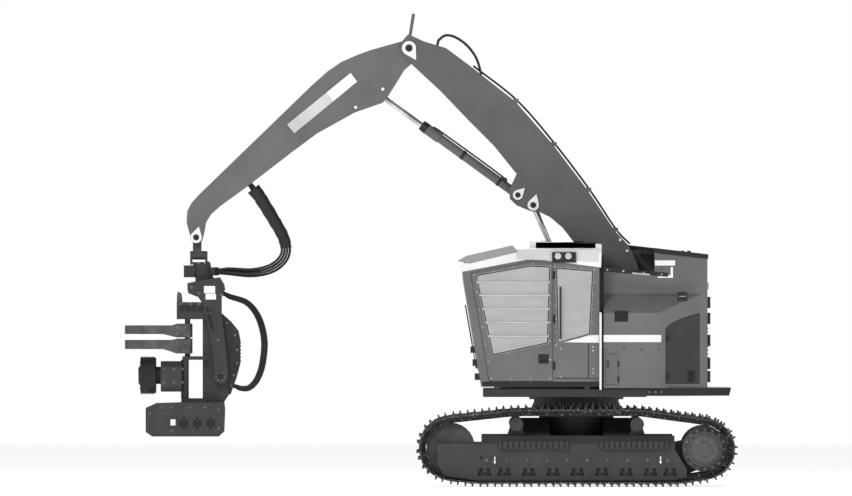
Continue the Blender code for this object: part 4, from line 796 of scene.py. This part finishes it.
def enclosure():
    black = Kit("enclosure_fittings_and_recess_shade", "upper", "black_paint", 0.003)
    strip = ((0.404, 3.213), (0.404, 3.276), (1.356, 3.2), (1.356, 3.138))
    plate(black, strip, ENGINE_LEFT, 0.020)
    for place in row_of((0.44, 0, 3.28), (1.26, 0, 3.25), 5):
        black.bolt(machine(place.x, ENGINE_LEFT, place.z), LEFT, 0.008, 0.006)
    for out, y in ((-1, ENGINE_LEFT), (1, -ENGINE_LEFT)):
        # louvre: the black plate is painted shade of the dark inside behind the slats; the slats are
        # black parts
        panel(black, (0.557, 2.467), (0.762, 2.628), y, 0.003, out)
        for k in range(5):
            z = 2.487 + 0.032 * k
            panel(black, (0.572, z), (0.746, z + 0.014), y + out * 0.002, 0.012, out)
        # hatch handle: the black plate is painted shade of the handle's recess
        panel(black, (1.494, 2.772), (1.646, 2.91), y, 0.003, out)
        for z in (1.62, 1.85):
            black.rod(
                machine(0.6165, y + out * 0.006, z - 0.05), machine(0.6165, y + out * 0.006, z + 0.03),
                0.012
            )
        handle(black, machine(0.46, y, 1.78), machine(0.46, y, 1.88), (0, out, 0), 0.03, 0.008)
        for place in row_of((0.44, 0, 2.05), (1.22, 0, 2.05), 4):
            black.bolt(machine(place.x, y, place.z), (0, out, 0), 0.008, 0.006)
    for z in (2.667, 2.43, 2.10, 1.76, 1.56):
        black.block(machine(1.945, ENGINE_LEFT + 0.43, z), machine(1.996, ENGINE_LEFT + 0.60, z + 0.17))
        black.block(machine(1.945, -0.86, z), machine(1.990, -0.80, z + 0.12))
    for y in (-0.5, 0.5):
        for k in range(12):
            black.block(
                machine(1.948, y - 0.22, 1.75 + 0.055 * k), machine(1.968, y + 0.22, 1.775 + 0.055 * k)
            )
    black.done()
    steel = Kit("enclosure_grabs", "upper", "pale_bolt", 0)
    for share in (0.05, 0.3, 0.62, 0.9):
        place = Vector((0.404, 3.246)).lerp(Vector((1.356, 3.168)), share)
        steel.bolt(at(place, ENGINE_LEFT - 0.018), LEFT, 0.010, 0.006)
    strip_face = ENGINE_LEFT - 0.018
    handle(steel, at((0.831, 3.192), strip_face), at((1.074, 3.171), strip_face), LEFT, 0.06, 0.013)
    for out, y in ((-1, ENGINE_LEFT), (1, -ENGINE_LEFT)):
        handle(steel, at((1.526, 2.847), y), at((1.616, 2.847), y), (0, out, 0), 0.03, 0.007)
    steel.done()
    for name, out in SIDES:
        door = Kit(f"corner_door_fittings_{name}", f"corner_door_{name}", "black_paint", 0.003)
        across = Vector((0.878, -out * 0.4785, 0))
        normal = Vector((0.4785, out * 0.878, 0))
        start = machine(1.3245, out * 1.446, 0)
        centre = start + across * 0.44 + Vector((0, 0, 1.641))
        corners = [
            centre + across * u + UP * w - normal * PROUD for u,
            w in ((-0.06, -0.088), (0.06, -0.088), (0.06, 0.088), (-0.06, 0.088))
        ]
        door.sheet(corners, normal * 0.012)
        handle(
            door, centre + UP * 0.05 + normal * 0.01, centre - UP * 0.05 + normal * 0.01, normal, 0.03,
            0.009
        )
        for z in (1.652, 2.217):
            door.rod(
                start + across * 0.03 + UP * (z - 0.05) + normal * 0.006,
                start + across * 0.03 + UP * (z + 0.05) + normal * 0.006, 0.014
            )
        for z in row_of((0, 0, 1.62), (0, 0, 2.40), 5):
            for u in (0.05, 0.52):
                door.bolt(start + across * u + z, normal, 0.007, 0.005)
        door.done()
    lamps = Kit("rear_lamps", "upper", "lamp_lens", 0.004)
    for y in (-0.95, 0.95):
        lamps.block(machine(1.945, y - 0.07, 2.95), machine(1.975, y + 0.07, 3.05))
    lamps.done()
    top = Kit("hood_fittings", "upper", "black_paint", 0.004)
    hood_top = corner("hood", 1).z
    for k in range(9):
        top.block(
            machine(0.95 + 0.09 * k, -0.55, hood_top - 0.145),
            machine(0.99 + 0.09 * k, 0.55, hood_top - 0.085)
        )
    top.done()
    tank = Kit("tank_fittings", "upper", "black_paint", 0.004)
    tank_top = corner("side_tank", 1).z
    tank.turned(
        machine(-0.9, 1.10, tank_top - PROUD), UP,
        [(0, 0.075), (0.03, 0.075), (0.035, 0.085), (0.075, 0.082), (0.08, 0.06)]
    )
    handle(tank, machine(-0.4, 0.95, tank_top), machine(0.1, 0.95, tank_top), UP, 0.09, 0.014)
    for x in (-0.8, -0.3, 0.2):
        tank.block(machine(x, 1.446, 1.50), machine(x + 0.22, 1.462, 1.52))
        tank.block(machine(x, 1.446, 2.40), machine(x + 0.22, 1.462, 2.42))
    tank.done()
    deck = Kit("deck_bolts", "upper", "bolt", 0)
    for out in (-1, 1):
        for start in row_of((1.08, 0, 1.43), (1.26, 0, 1.43), 3):
            deck.bolt(machine(start.x, out * 1.45, 1.418), (0, out, 0), 0.014, 0.010)
    deck.done()


# Undercarriage -----------------------------------------------------------------------------------

TRACK_Y = 1.30
CHAIN_HALF = 0.10
FRAME_SIDE = 1.56
SHOE_PITCH = 0.2163
IDLER = (-1.884, 0.5715)
SPROCKET = (1.908, 0.564)
BELT = (  # x, z and radius of what the chain's pins run round, clockwise
    (*IDLER, 0.435),
    (-0.904, 0.936, 0.176),
    (0.897, 0.936, 0.176),
    (*SPROCKET, 0.41),
    (1.519, 0.454, 0.36),
    (-1.5085, 0.454, 0.36),
)


def pins():
    """The chain's pins, one pitch apart round the belt."""
    turns = []
    for i, (x, z, radius) in enumerate(BELT):
        x2, z2, radius2 = BELT[(i + 1) % len(BELT)]
        gap = Vector((x2 - x, z2 - z))
        turns.append(math.atan2(gap.y, gap.x) + math.pi / 2 - math.asin((radius - radius2) / gap.length))
    line = []
    for i, (x, z, radius) in enumerate(BELT):
        first, last = turns[i - 1], turns[i]
        while last > first:
            last -= 2 * math.pi
        while last < first - 2 * math.pi:
            last += 2 * math.pi
        for k in range(40):
            angle = first + (last - first) * k / 39
            line.append(Vector((x + radius * math.cos(angle), z + radius * math.sin(angle))))
    line.append(line[0])
    length = sum((b - a).length for a, b in zip(line, line[1:]))
    step = length / round(length / SHOE_PITCH)
    found, travelled, target = [], 0, 0
    for a, b in zip(line, line[1:]):
        side = (b - a).length
        while side and target <= travelled + side - 1e-9:
            found.append(a.lerp(b, (target - travelled) / side))
            target += step
        travelled += side
    return found[: round(length / SHOE_PITCH)]


def tracks():
    places = pins()
    for name, out in SIDES:
        y = out * TRACK_Y
        chain = Kit(f"chain_links_{name}", "undercarriage", "chain", 0.003, "track_steel")
        studs = Kit(f"shoe_bolts_{name}", "undercarriage", "bolt", 0)
        for i, start in enumerate(places):
            end = places[(i + 1) % len(places)]
            along = (end - start).normalized()
            normal = Vector((-along.y, along.x))
            third = Vector((along.x, 0, along.y))
            rise = Vector((normal.x, 0, normal.y))
            for face in (-1, 1):
                side = y + face * CHAIN_HALF
                chain.turned(
                    at(start, side - face * 0.01), (0, face, 0),
                    [(0, 0.034), (0.030, 0.034), (0.034, 0.024)], 12
                )
                a, b = at(start, side - face * PROUD), at(end, side - face * PROUD)
                shape = [
                    a - rise * 0.045 - third * 0.03, b - rise * 0.045 + third * 0.02,
                    b + rise * 0.025 + third * 0.02, a + rise * 0.025 - third * 0.03
                ]
                chain.sheet(shape, Vector((0, face * 0.014, 0)))
                middle = at((start + end) / 2, y + face * 0.17)
                for shift in (-0.045, 0.045):
                    studs.bolt(middle + third * shift * 0.4 + rise * 0.045 + Vector((0, shift, 0)), rise)
        chain.done()
        studs.done()


def undercarriage():
    for name, out in SIDES:
        face = (0, out, 0)
        steel = Kit(f"track_frame_bolts_{name}", "undercarriage", "bolt", 0)
        for x in row_of((-1.35, 0, 0), (1.35, 0, 0), 10):
            steel.bolt(machine(x.x, out * FRAME_SIDE, 0.40), face, 0.014, 0.010)
        drive = corner(f"final_drive_{name}", 1 if out > 0 else 0).y
        for x, z in circle_of(16, 0.295):
            steel.bolt(machine(SPROCKET[0] + x, drive - out * 0.045, SPROCKET[1] + z), face, 0.014, 0.05)
        for x, z in circle_of(8, 0.15):
            steel.bolt(machine(SPROCKET[0] + x, drive, SPROCKET[1] + z), face)
        steel.done()
        caps = Kit(f"hub_caps_{name}", "undercarriage", "drive", 0.003, "cast_iron")
        hub = [(0, 0.11), (0.012, 0.11), (0.02, 0.10), (0.022, 0.05), (0.03, 0.045)]
        caps.turned(machine(SPROCKET[0], drive - out * PROUD, SPROCKET[1]), face, hub, 32)
        caps.done()
        marks = Kit(f"lashing_marks_{name}", "undercarriage", "white_trim", 0)
        for x, z in ((-1.228, 0.402), (1.245, 0.402)):
            arrow = [
                (x - 0.008, z - 0.02), (x - 0.008, z + 0.055), (x + 0.008, z + 0.055),
                (x + 0.008, z - 0.02), (x + 0.022, z - 0.02), (x, z - 0.06), (x - 0.022, z - 0.02)
            ]
            plate(marks, arrow, out * FRAME_SIDE, 0.002, out)
        marks.done()
        treads = Kit(f"step_treads_{name}", "undercarriage", "black", 0.002, "black_paint")
        for first, last in ((-1.168, -0.137), (0.345, 1.351)):
            for x in row_of((first + 0.05, 0, 0), (last - 0.05, 0, 0), 12):
                treads.block(
                    machine(x.x - 0.012, out * (FRAME_SIDE - 0.012), 0.585),
                    machine(x.x + 0.012, out * (FRAME_SIDE + 0.010), 0.672)
                )
        treads.done()
    ring = Kit("slewing_ring_bolts", "undercarriage", "bolt", 0)
    for x, y in circle_of(40, 0.636, 0.5):
        ring.turned(
            machine(x, y, 1.165), UP, [(0, 0.026), (0.012, 0.026), (0.013, 0.017), (0.085, 0.017)], 6
        )
    ring.done()
    flange = Kit("slewing_ring_flange", "undercarriage", "black_paint", 0.003, "cast_iron")
    flange.turned(machine(0, 0, 1.130), UP, [(0, 0.60), (0, 0.70), (0.036, 0.70), (0.036, 0.60)], 64)
    flange.done()


# Arm ---------------------------------------------------------------------------------------------

BOOM_HALF = 0.215
STICK_HALF = 0.162
BOOM_LENGTH = 5.27


def teardrop(kit, centre, towards, y, radius, out):
    """A pin plate: a disc drawn out to a point."""
    reach = Vector(towards).normalized()
    angle = math.atan2(reach.y, reach.x)
    spread = math.radians(62)
    outline = []
    for i in range(22):
        turn = angle + spread + (2 * math.pi - 2 * spread) * i / 21
        outline.append((centre[0] + radius * math.cos(turn), centre[1] + radius * math.sin(turn)))
    outline.append((centre[0] + reach.x * radius * 2.0, centre[1] + reach.y * radius * 2.0))
    plate(kit, outline, y, 0.008, out)


def xz(point):
    return (point.x - SLEW, point.z)


def arm():
    white = Kit("boom_pin_plates", "boom", "white_trim", 0.001)
    dark = Kit("boom_pin_heads", "boom", "black", 0.002, "black_paint")
    lugs = (
        (xz(TIP), (0.6, -1), 0.105), (xz(on_boom(2.53, 0.06, 0)), (1, 1), 0.075),
        (xz(on_boom(2.27, -0.03, 0)), (0.3, 1), 0.085)
    )
    for out in (-1, 1):
        for centre, towards, radius in lugs:
            teardrop(white, centre, towards, out * BOOM_HALF, radius, out)
            dark.turned(
                at(centre, out * (BOOM_HALF + 0.006)), (0, out, 0),
                [(0, radius * 0.52), (0.016, radius * 0.52), (0.02, radius * 0.4)]
            )
        for place in ((0.656, 3.687), (0.761, 3.522)):
            white.turned(
                at(place, out * (BOOM_HALF - PROUD)), (0, out, 0),
                [(0, 0.022), (0.010, 0.022), (0.014, 0.014)]
            )
    white.done()
    dark.done()
    white = Kit("stick_pin_plates", "stick", "white_trim", 0.001)
    dark = Kit("stick_pin_heads", "stick", "black", 0.002, "black_paint")
    for out in (-1, 1):
        side = out * STICK_HALF
        teardrop(white, xz(HANG), (0.25, 1), side, 0.085, out)
        dark.turned(at(xz(HANG), side), (0, out, 0), [(0, 0.045), (0.018, 0.045), (0.022, 0.034)])
        for place in ((-2.902, 5.949), (-3.309, 5.676)):
            white.turned(
                at(place, side - out * PROUD), (0, out, 0), [(0, 0.024), (0.010, 0.024), (0.014, 0.014)]
            )
        corners = [
            Vector(p) for p in ((-4.336, 5.418), (-3.385, 6.193), (-3.285, 6.062), (-4.228, 5.286))
        ]
        upper = [
            corners[0].lerp(corners[1], 0.62), corners[1], corners[2], corners[3].lerp(corners[2], 0.62)
        ]
        plate(white, upper, side, 0.001, out)
        grey_part = Kit(
            "blank_label_left" if out < 0 else "blank_label_right", "stick", "plate", 0, "white_trim"
        )
        plate(grey_part, [corners[0], upper[0], upper[3], corners[3]], side, 0.001, out)
        grey_part.done()
    white.done()
    dark.done()
    lines = Kit("boom_lines", "boom", "black_paint", 0)
    clamps = Kit("boom_line_clamps", "boom", "bolt", 0.002)
    run = [
        (BOOM_LENGTH - 0.80, -0.60), (BOOM_LENGTH - 1.61, -0.80), (2.80, -0.85), (1.94, -0.84),
        (1.22, -0.79), (0.92, -0.82)
    ]
    for y in (-0.15, -0.11, 0.11, 0.15):
        lines.pipe([on_boom(s, o, y) for s, o in run], 0.014)
    for s, o in run[1:5]:
        for y in (-0.13, 0.13):
            centre = on_boom(s, o + 0.012, y)
            clamps.block(centre - Vector((0.04, 0.045, 0.03)), centre + Vector((0.04, 0.045, 0.03)))
    lines.done()
    clamps.done()


def cylinders():
    runs = (
        ("stick", on_boom(2.53, 0.06, 0), on_stick(0.80, 0.18, 0), at((-2.337, 5.422), 0)),
        ("boom", machine(0.2205, 0, 2.187), on_boom(2.27, -0.03, 0), None)
    )
    for name, foot, eye, gland in runs:
        along = (eye - foot).normalized()
        top = corner(f"{name}_cylinder_barrel", 1).z
        reach = (gland - foot).length if gland else (top - foot.z) / along.z
        body = f"{name}_barrel"
        kit = Kit(f"{name}_cylinder_fittings", body, "black_paint", 0.002)
        ring = [(0, 0.083), (0.05, 0.083), (0.06, 0.078), (0.10, 0.078), (0.104, 0.06)]
        kit.turned(foot + along * (reach - 0.12), along, ring, 24)
        for distance in (0.32, reach * 0.55, reach - 0.30):
            kit.turned(foot + along * distance, along, [(0, 0.074), (0.045, 0.074)], 24)
        above = Vector((-along.z, 0, along.x))
        if above.z < 0:
            above = -above
        for y in (-0.045, 0.045):
            rise = above * 0.088 + Vector((0, y, 0))
            points = [foot + along * 0.30 + above * 0.05 + Vector((0, y, 0)), foot + along * 0.36 + rise]
            points += [
                foot + along * (reach - 0.30) + rise,
                foot + along * (reach - 0.20) + above * 0.06 + Vector((0, y, 0))
            ]
            kit.pipe(points, 0.013)
        kit.block(
            foot + along * 0.30 + above * 0.05 - Vector((0.05, 0.06, 0.04)),
            foot + along * 0.30 + above * 0.05 + Vector((0.05, 0.06, 0.04))
        )
        kit.done()


# Hoses -------------------------------------------------------------------------------------------


def offset_line(line, place, y, spread):
    """A line beside another in its own plane, by place times a spread that eases in and out."""
    result = []
    for i, point in enumerate(line):
        along = heading(line, i)
        share = i / (len(line) - 1)
        ease = 0.35 + 0.65 * math.sin(math.pi * share)
        result.append(point + Vector((-along.z, 0, along.x)) * place * spread * ease + Vector((0, y, 0)))
    return result


def strand(name, line, radius, bodies):
    """One hose along a line, as a round tube; bodies is one body that it is put on, or two that it runs
    between, and then it is put on neither.
    """
    hose = Kit(name, None, "hose_rubber").rings(tube_rings(line, radius, 12, RIGHT))
    obj = made(name, hose.bm, "hose_rubber")
    if isinstance(bodies, str):
        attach(obj, bodies)
    else:
        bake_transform(obj)
    return obj


HEAD_LINE = [
    (-2.7082, 0, 4.5207),
    (-2.6351, 0, 4.426),
    (-2.5618, 0, 4.3309),
    (-2.3566, 0, 3.9969),
    (-2.1966, 0, 3.6969),
    (-2.1866, 0, 3.4569),
    (-2.3566, 0, 3.2769),
    (-2.6566, 0, 3.1969),
    (-3.0126, 0, 3.2169),
    (-3.1226, 0, 3.2169),
    (-3.2323, 0, 3.2169),
]
LOOP_LINE = [
    (-3.1099, 0, 2.8883),
    (-3.0564, 0, 2.8618),
    (-3.0026, 0, 2.8352),
    (-2.7506, 0, 2.7419),
    (-2.5806, 0, 2.5219),
    (-2.4956, 0, 2.1919),
    (-2.5206, 0, 1.8419),
    (-2.6006, 0, 1.6019),
    (-2.7206, 0, 1.4719),
    (-2.8416, 0, 1.4606),
    (-2.8981, 0, 1.4808),
    (-2.9544, 0, 1.5008),
]
JOINT_LINE = [
    (0.0988, -0.1752, 6.6049),
    (0.1101, -0.1752, 6.6429),
    (0.1216, -0.1752, 6.6812),
    (0.2245, -0.1752, 6.7541),
    (0.3745, -0.1752, 6.7241),
    (0.5545, -0.1752, 6.5941),
    (0.69, -0.1752, 6.4),
    (0.7593, -0.1752, 6.1654),
]


def hoses():
    line = smooth([Vector(p) for p in HEAD_LINE], 6)
    middle = round(len(line) * 0.55)
    first = None
    for k, place in enumerate((-1.5, -0.5, 0.5, 1.5)):
        y = (-0.03, 0.03)[k % 2]
        path = offset_line(line, place, y, 0.040)
        upper = strand(
            f"head_hose_{k}_upper", path[: middle + 1], 0.018, ("stick", "link")
        )
        strand(
            f"head_hose_{k}_lower", path[middle:], 0.018, ("link", "rotator")
        )
        first = first or upper
    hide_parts("head_hoses")
    sleeve_line = line[4 : middle - 6]
    rings = []
    for i, point in enumerate(sleeve_line):
        third = heading(sleeve_line, i).cross(RIGHT).normalized()
        share = i / (len(sleeve_line) - 1)
        radius = 0.105 - 0.02 * share + 0.004 * math.sin(i * 2.2)
        rings.append(ring_round(point, RIGHT * 0.85, third, radius, 20))
    sleeve = made(
        "head_hose_sleeve", Kit("head_hose_sleeve", None, "black_paint").rings(rings).bm, "black_paint"
    )
    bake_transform(sleeve)

    line = smooth([Vector(p) for p in LOOP_LINE], 6)
    first = None
    for k, place in enumerate((-1, 0, 1)):
        path = offset_line(line, place, (k - 1) * 0.02, 0.034)
        obj = strand(f"loop_hose_{k}", path, 0.017, ("tilt_frame", "head"))
        first = first or obj
    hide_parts("loop_hoses")

    line = smooth([Vector(p) for p in JOINT_LINE], 6)
    first = strand("joint_hose_0", line, 0.020, "boom")
    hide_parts("joint_hoses")
    strand("joint_hose_1", [p + Vector((0, -0.036, 0)) for p in line], 0.012, "boom")


# Head --------------------------------------------------------------------------------------------


def head():
    studs = Kit("tilt_frame_bolts", "tilt_frame", "bolt", 0)
    black = Kit("tilt_frame_covers", "tilt_frame", "black", 0.003, "black_paint")
    white = Kit("blank_head_plates", "tilt_frame", "white_trim", 0)
    lowest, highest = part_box("tilt_frame")
    for out, side in ((-1, lowest[1]), (1, highest[1])):
        face = (0, out, 0)
        for x, z in ((-0.43, 1.34), (-0.32, 1.25), (0.02, 1.22), (-0.18, 0.95), (-0.03, 0.55)):
            studs.bolt(on_head(x, side, z), face, 0.016, 0.012)
        for x, z in circle_of(6, 0.062):
            studs.bolt(on_head(x, side, z), face, 0.009, 0.008)
        black.turned(on_head(0, side - out * PROUD, 0), face, [(0, 0.040), (0.016, 0.040), (0.02, 0.03)])
        for low, high in (((-5.58, 2.889), (-5.413, 2.997)), ((-5.556, 2.795), (-5.4, 2.883))):
            panel(white, low, high, side, 0.002, out)
        handle(black, on_head(-0.20, side, 1.02), on_head(-0.12, side, 0.72), face, 0.05, 0.012)
    studs.done()
    black.done()
    white.done()

    bolts = Kit("head_bolts", "head", "bolt", 0)
    covers = Kit("head_covers_and_recess_shade", "head", "black", 0.004, "black_paint")
    pale = Kit("head_cover_plates", "head", "frame_paint", 0.004)
    marks = Kit("blank_head_labels", "head", "white_trim", 0)
    side = corner("saw_box", 0).y
    panel(pale, (-6.325, 0.822), (-6.124, 1.13), side, 0.006)
    # three flat black plates are painted shade of three recesses in the saw box side; the bolts in them
    # are real
    for first, last in ((-5.9505, -5.8155), (-5.7405, -5.6145), (-5.5395, -5.4135)):
        panel(covers, (first, 0.854), (last, 1.027), side, 0.008)
        for x in (first + 0.02, last - 0.02):
            for z in (0.867, 1.014):
                bolts.bolt(at((x, z), side - 0.006), LEFT, 0.008, 0.006)
    upper_row = ((-6.394, 1.092), (-6.229, 1.175), (-6.064, 1.182), (-5.794, 1.182), (-5.569, 1.182))
    for place in upper_row + ((-5.359, 1.152), (-5.359, 0.867), (-6.064, 0.837)):
        bolts.bolt(at(place, side), LEFT, 0.013, 0.010)
    panel(marks, (-6.079, 0.912), (-6.004, 1.002), side, 0.002)
    for out, side in ((-1, -0.30), (1, 0.30)):
        face = (0, out, 0)
        for x in (-5.931, -5.7885, -5.6475):
            bolts.bolt(machine(x, side, 2.729), face, 0.016, 0.014)
        y = side + out * 0.01
        for x in row_of((-0.60, 0, 0), (-0.33, 0, 0), 4):
            covers.block(on_head(x.x, y - 0.02, 0.985), on_head(x.x + 0.055, y + 0.02, 1.06))
    cover_low, cover_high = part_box("head_cover")
    for out, side in ((-1, cover_low.y), (1, cover_high.y)):
        for x, z in ((0.10, 0.80), (0.22, 0.62), (0.25, 0.40), (0.25, 0.20), (0.20, 0.02), (0.16, -0.14)):
            bolts.bolt(on_head(x, side, z), (0, out, 0), 0.012, 0.009)
    for k in range(6):
        covers.block(on_head(0.285, -0.15, 0.22 + 0.055 * k), on_head(0.305, 0.15, 0.245 + 0.055 * k))
    bolts.done()
    covers.done()
    pale.done()
    marks.done()


def feed_rollers():
    for name in ("left", "right"):
        low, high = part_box(f"feed_roller_{name}")
        centre = (low + high) / 2
        spikes = Kit(f"roller_spikes_{name}", f"feed_roller_{name}", "roller", 0, "cast_iron")
        radius = (high.y - low.y) / 2
        for row in range(6):
            x = low.x + 0.045 + row * 0.034
            for y, z in circle_of(22, 1.0, 0.5 * (row % 2)):
                out = Vector((0, y, z))
                base = Vector((x, centre.y, centre.z)) + out * (radius - 0.006)
                spikes.turned(base, out, [(0, 0.011), (0.022, 0.004)], 5)
        spikes.done()
        bolts = Kit(f"roller_bolts_{name}", f"feed_roller_{name}", "bolt", 0)
        for y, z in circle_of(8, 0.19):
            bolts.bolt((low.x + 0.03, centre.y + y, centre.z + z), (-1, 0, 0), 0.014, 0.012)
        bolts.done()
        arm_low, arm_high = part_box(f"roller_arm_{name}")
        motor = Kit(f"roller_motor_fittings_{name}", f"roller_arm_{name}", "bolt", 0)
        out = -1 if name == "left" else 1
        side = arm_low.y if out < 0 else arm_high.y
        for x in (arm_low.x + 0.05, arm_low.x + 0.20, arm_high.x - 0.08):
            for z in (centre.z - 0.10, centre.z + 0.10):
                motor.bolt(Vector((x, side, z)), (0, out, 0))
        motor.done()


def knives():
    for level in ("upper", "lower"):
        for name in ("left", "right"):
            low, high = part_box(f"{level}_knife_{name}")
            out = -1 if name == "left" else 1
            fittings = Kit(f"{level}_knife_bolts_{name}", f"{level}_knife_{name}", "bolt", 0)
            side = low.y if out < 0 else high.y
            for x in (high.x - 0.10, high.x - 0.22):
                for z in ((low.z + high.z) / 2 - 0.05, (low.z + high.z) / 2 + 0.05):
                    fittings.bolt(Vector((x, side, z)), (0, out, 0))
            fittings.done()


def rotator():
    low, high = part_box("rotator_housing")
    covers = Kit("rotator_fittings", "rotator", "black", 0.003, "black_paint")
    bolts = Kit("rotator_bolts", "rotator", "bolt", 0)
    for out, side in ((-1, low.y), (1, high.y)):
        for x, z in ((-0.10, -0.12), (0.0, -0.12), (0.09, -0.12)):
            bolts.bolt(CROSS + Vector((x, side, z)), (0, out, 0))
    for y in (-0.03, 0.03):
        for z in (-0.28, -0.20):
            covers.turned(
                Vector((high.x - 0.02, y, CROSS.z + z)), (1, 0, 0),
                [(0, 0.024), (0.05, 0.024), (0.052, 0.020), (0.08, 0.020)], 12
            )
    covers.done()
    bolts.done()


# Seat --------------------------------------------------------------------------------------------


def cushion(name, low, high):
    """A rounded pad between two corners."""
    low, high = Vector(low), Vector(high)
    bm = bmesh.new()
    bmesh.ops.create_cube(bm, size=1)
    bmesh.ops.subdivide_edges(bm, edges=bm.edges, cuts=7, use_grid_fill=True)
    size, middle = high - low, (high + low) / 2
    for vert in bm.verts:
        u, v, w = (c * 2 for c in vert.co)
        bulge = 1 + 0.10 * (1 - v * v) * (1 - u * u if size.z < size.x else 1 - w * w)
        groove = 0.012 * math.cos(v * math.pi * 3) ** 2
        pull = 1 - 0.10 * max(abs(u), abs(v), abs(w)) ** 8 * (abs(u * v) + abs(v * w) + abs(u * w)) / 3
        vert.co = Vector((u * size.x / 2 * pull, v * size.y / 2 * pull, w * size.z / 2 * pull))
        if size.z < size.x:
            vert.co.z = vert.co.z * bulge - (groove if w > 0.5 else 0)
        else:
            vert.co.x = vert.co.x * bulge + (groove if u < -0.5 else 0)
    obj = made(name, bm, "seat_fabric")
    obj.data.transform(Matrix.Translation(middle))
    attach(obj, "upper")
    return obj


def seat():
    low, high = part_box("operator_seat")
    base = Kit("seat_base", "upper", "trim_plastic", 0.01)
    base.block((low[0] + 0.05, low[1] + 0.06, low[2]), (high[0] - 0.12, high[1] - 0.06, low[2] + 0.22))
    base.block(
        (low[0] + 0.02, low[1] + 0.03, low[2] + 0.20), (high[0] - 0.08, high[1] - 0.03, low[2] + 0.33)
    )
    base.block(
        (high[0] - 0.12, low[1] + 0.08, low[2] + 0.30), (high[0] - 0.05, high[1] - 0.08, high[2] - 0.12)
    )
    base.done()
    bottom = cushion(
        "seat_cushion", (low[0] + 0.01, low[1] + 0.01, low[2] + 0.33),
        (high[0] - 0.14, high[1] - 0.01, low[2] + 0.47)
    )
    cushion(
        "seat_back", (high[0] - 0.21, low[1] + 0.02, low[2] + 0.46),
        (high[0] - 0.09, high[1] - 0.02, high[2] - 0.20)
    )
    cushion(
        "seat_headrest", (high[0] - 0.18, low[1] + 0.13, high[2] - 0.18),
        (high[0] - 0.08, high[1] - 0.13, high[2] - 0.01)
    )
    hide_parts("operator_seat")


cab()
stripe_and_plates()
enclosure()
tracks()
undercarriage()
arm()
cylinders()
hoses()
head()
feed_rollers()
knives()
rotator()
seat()
studio()
world()
floor()
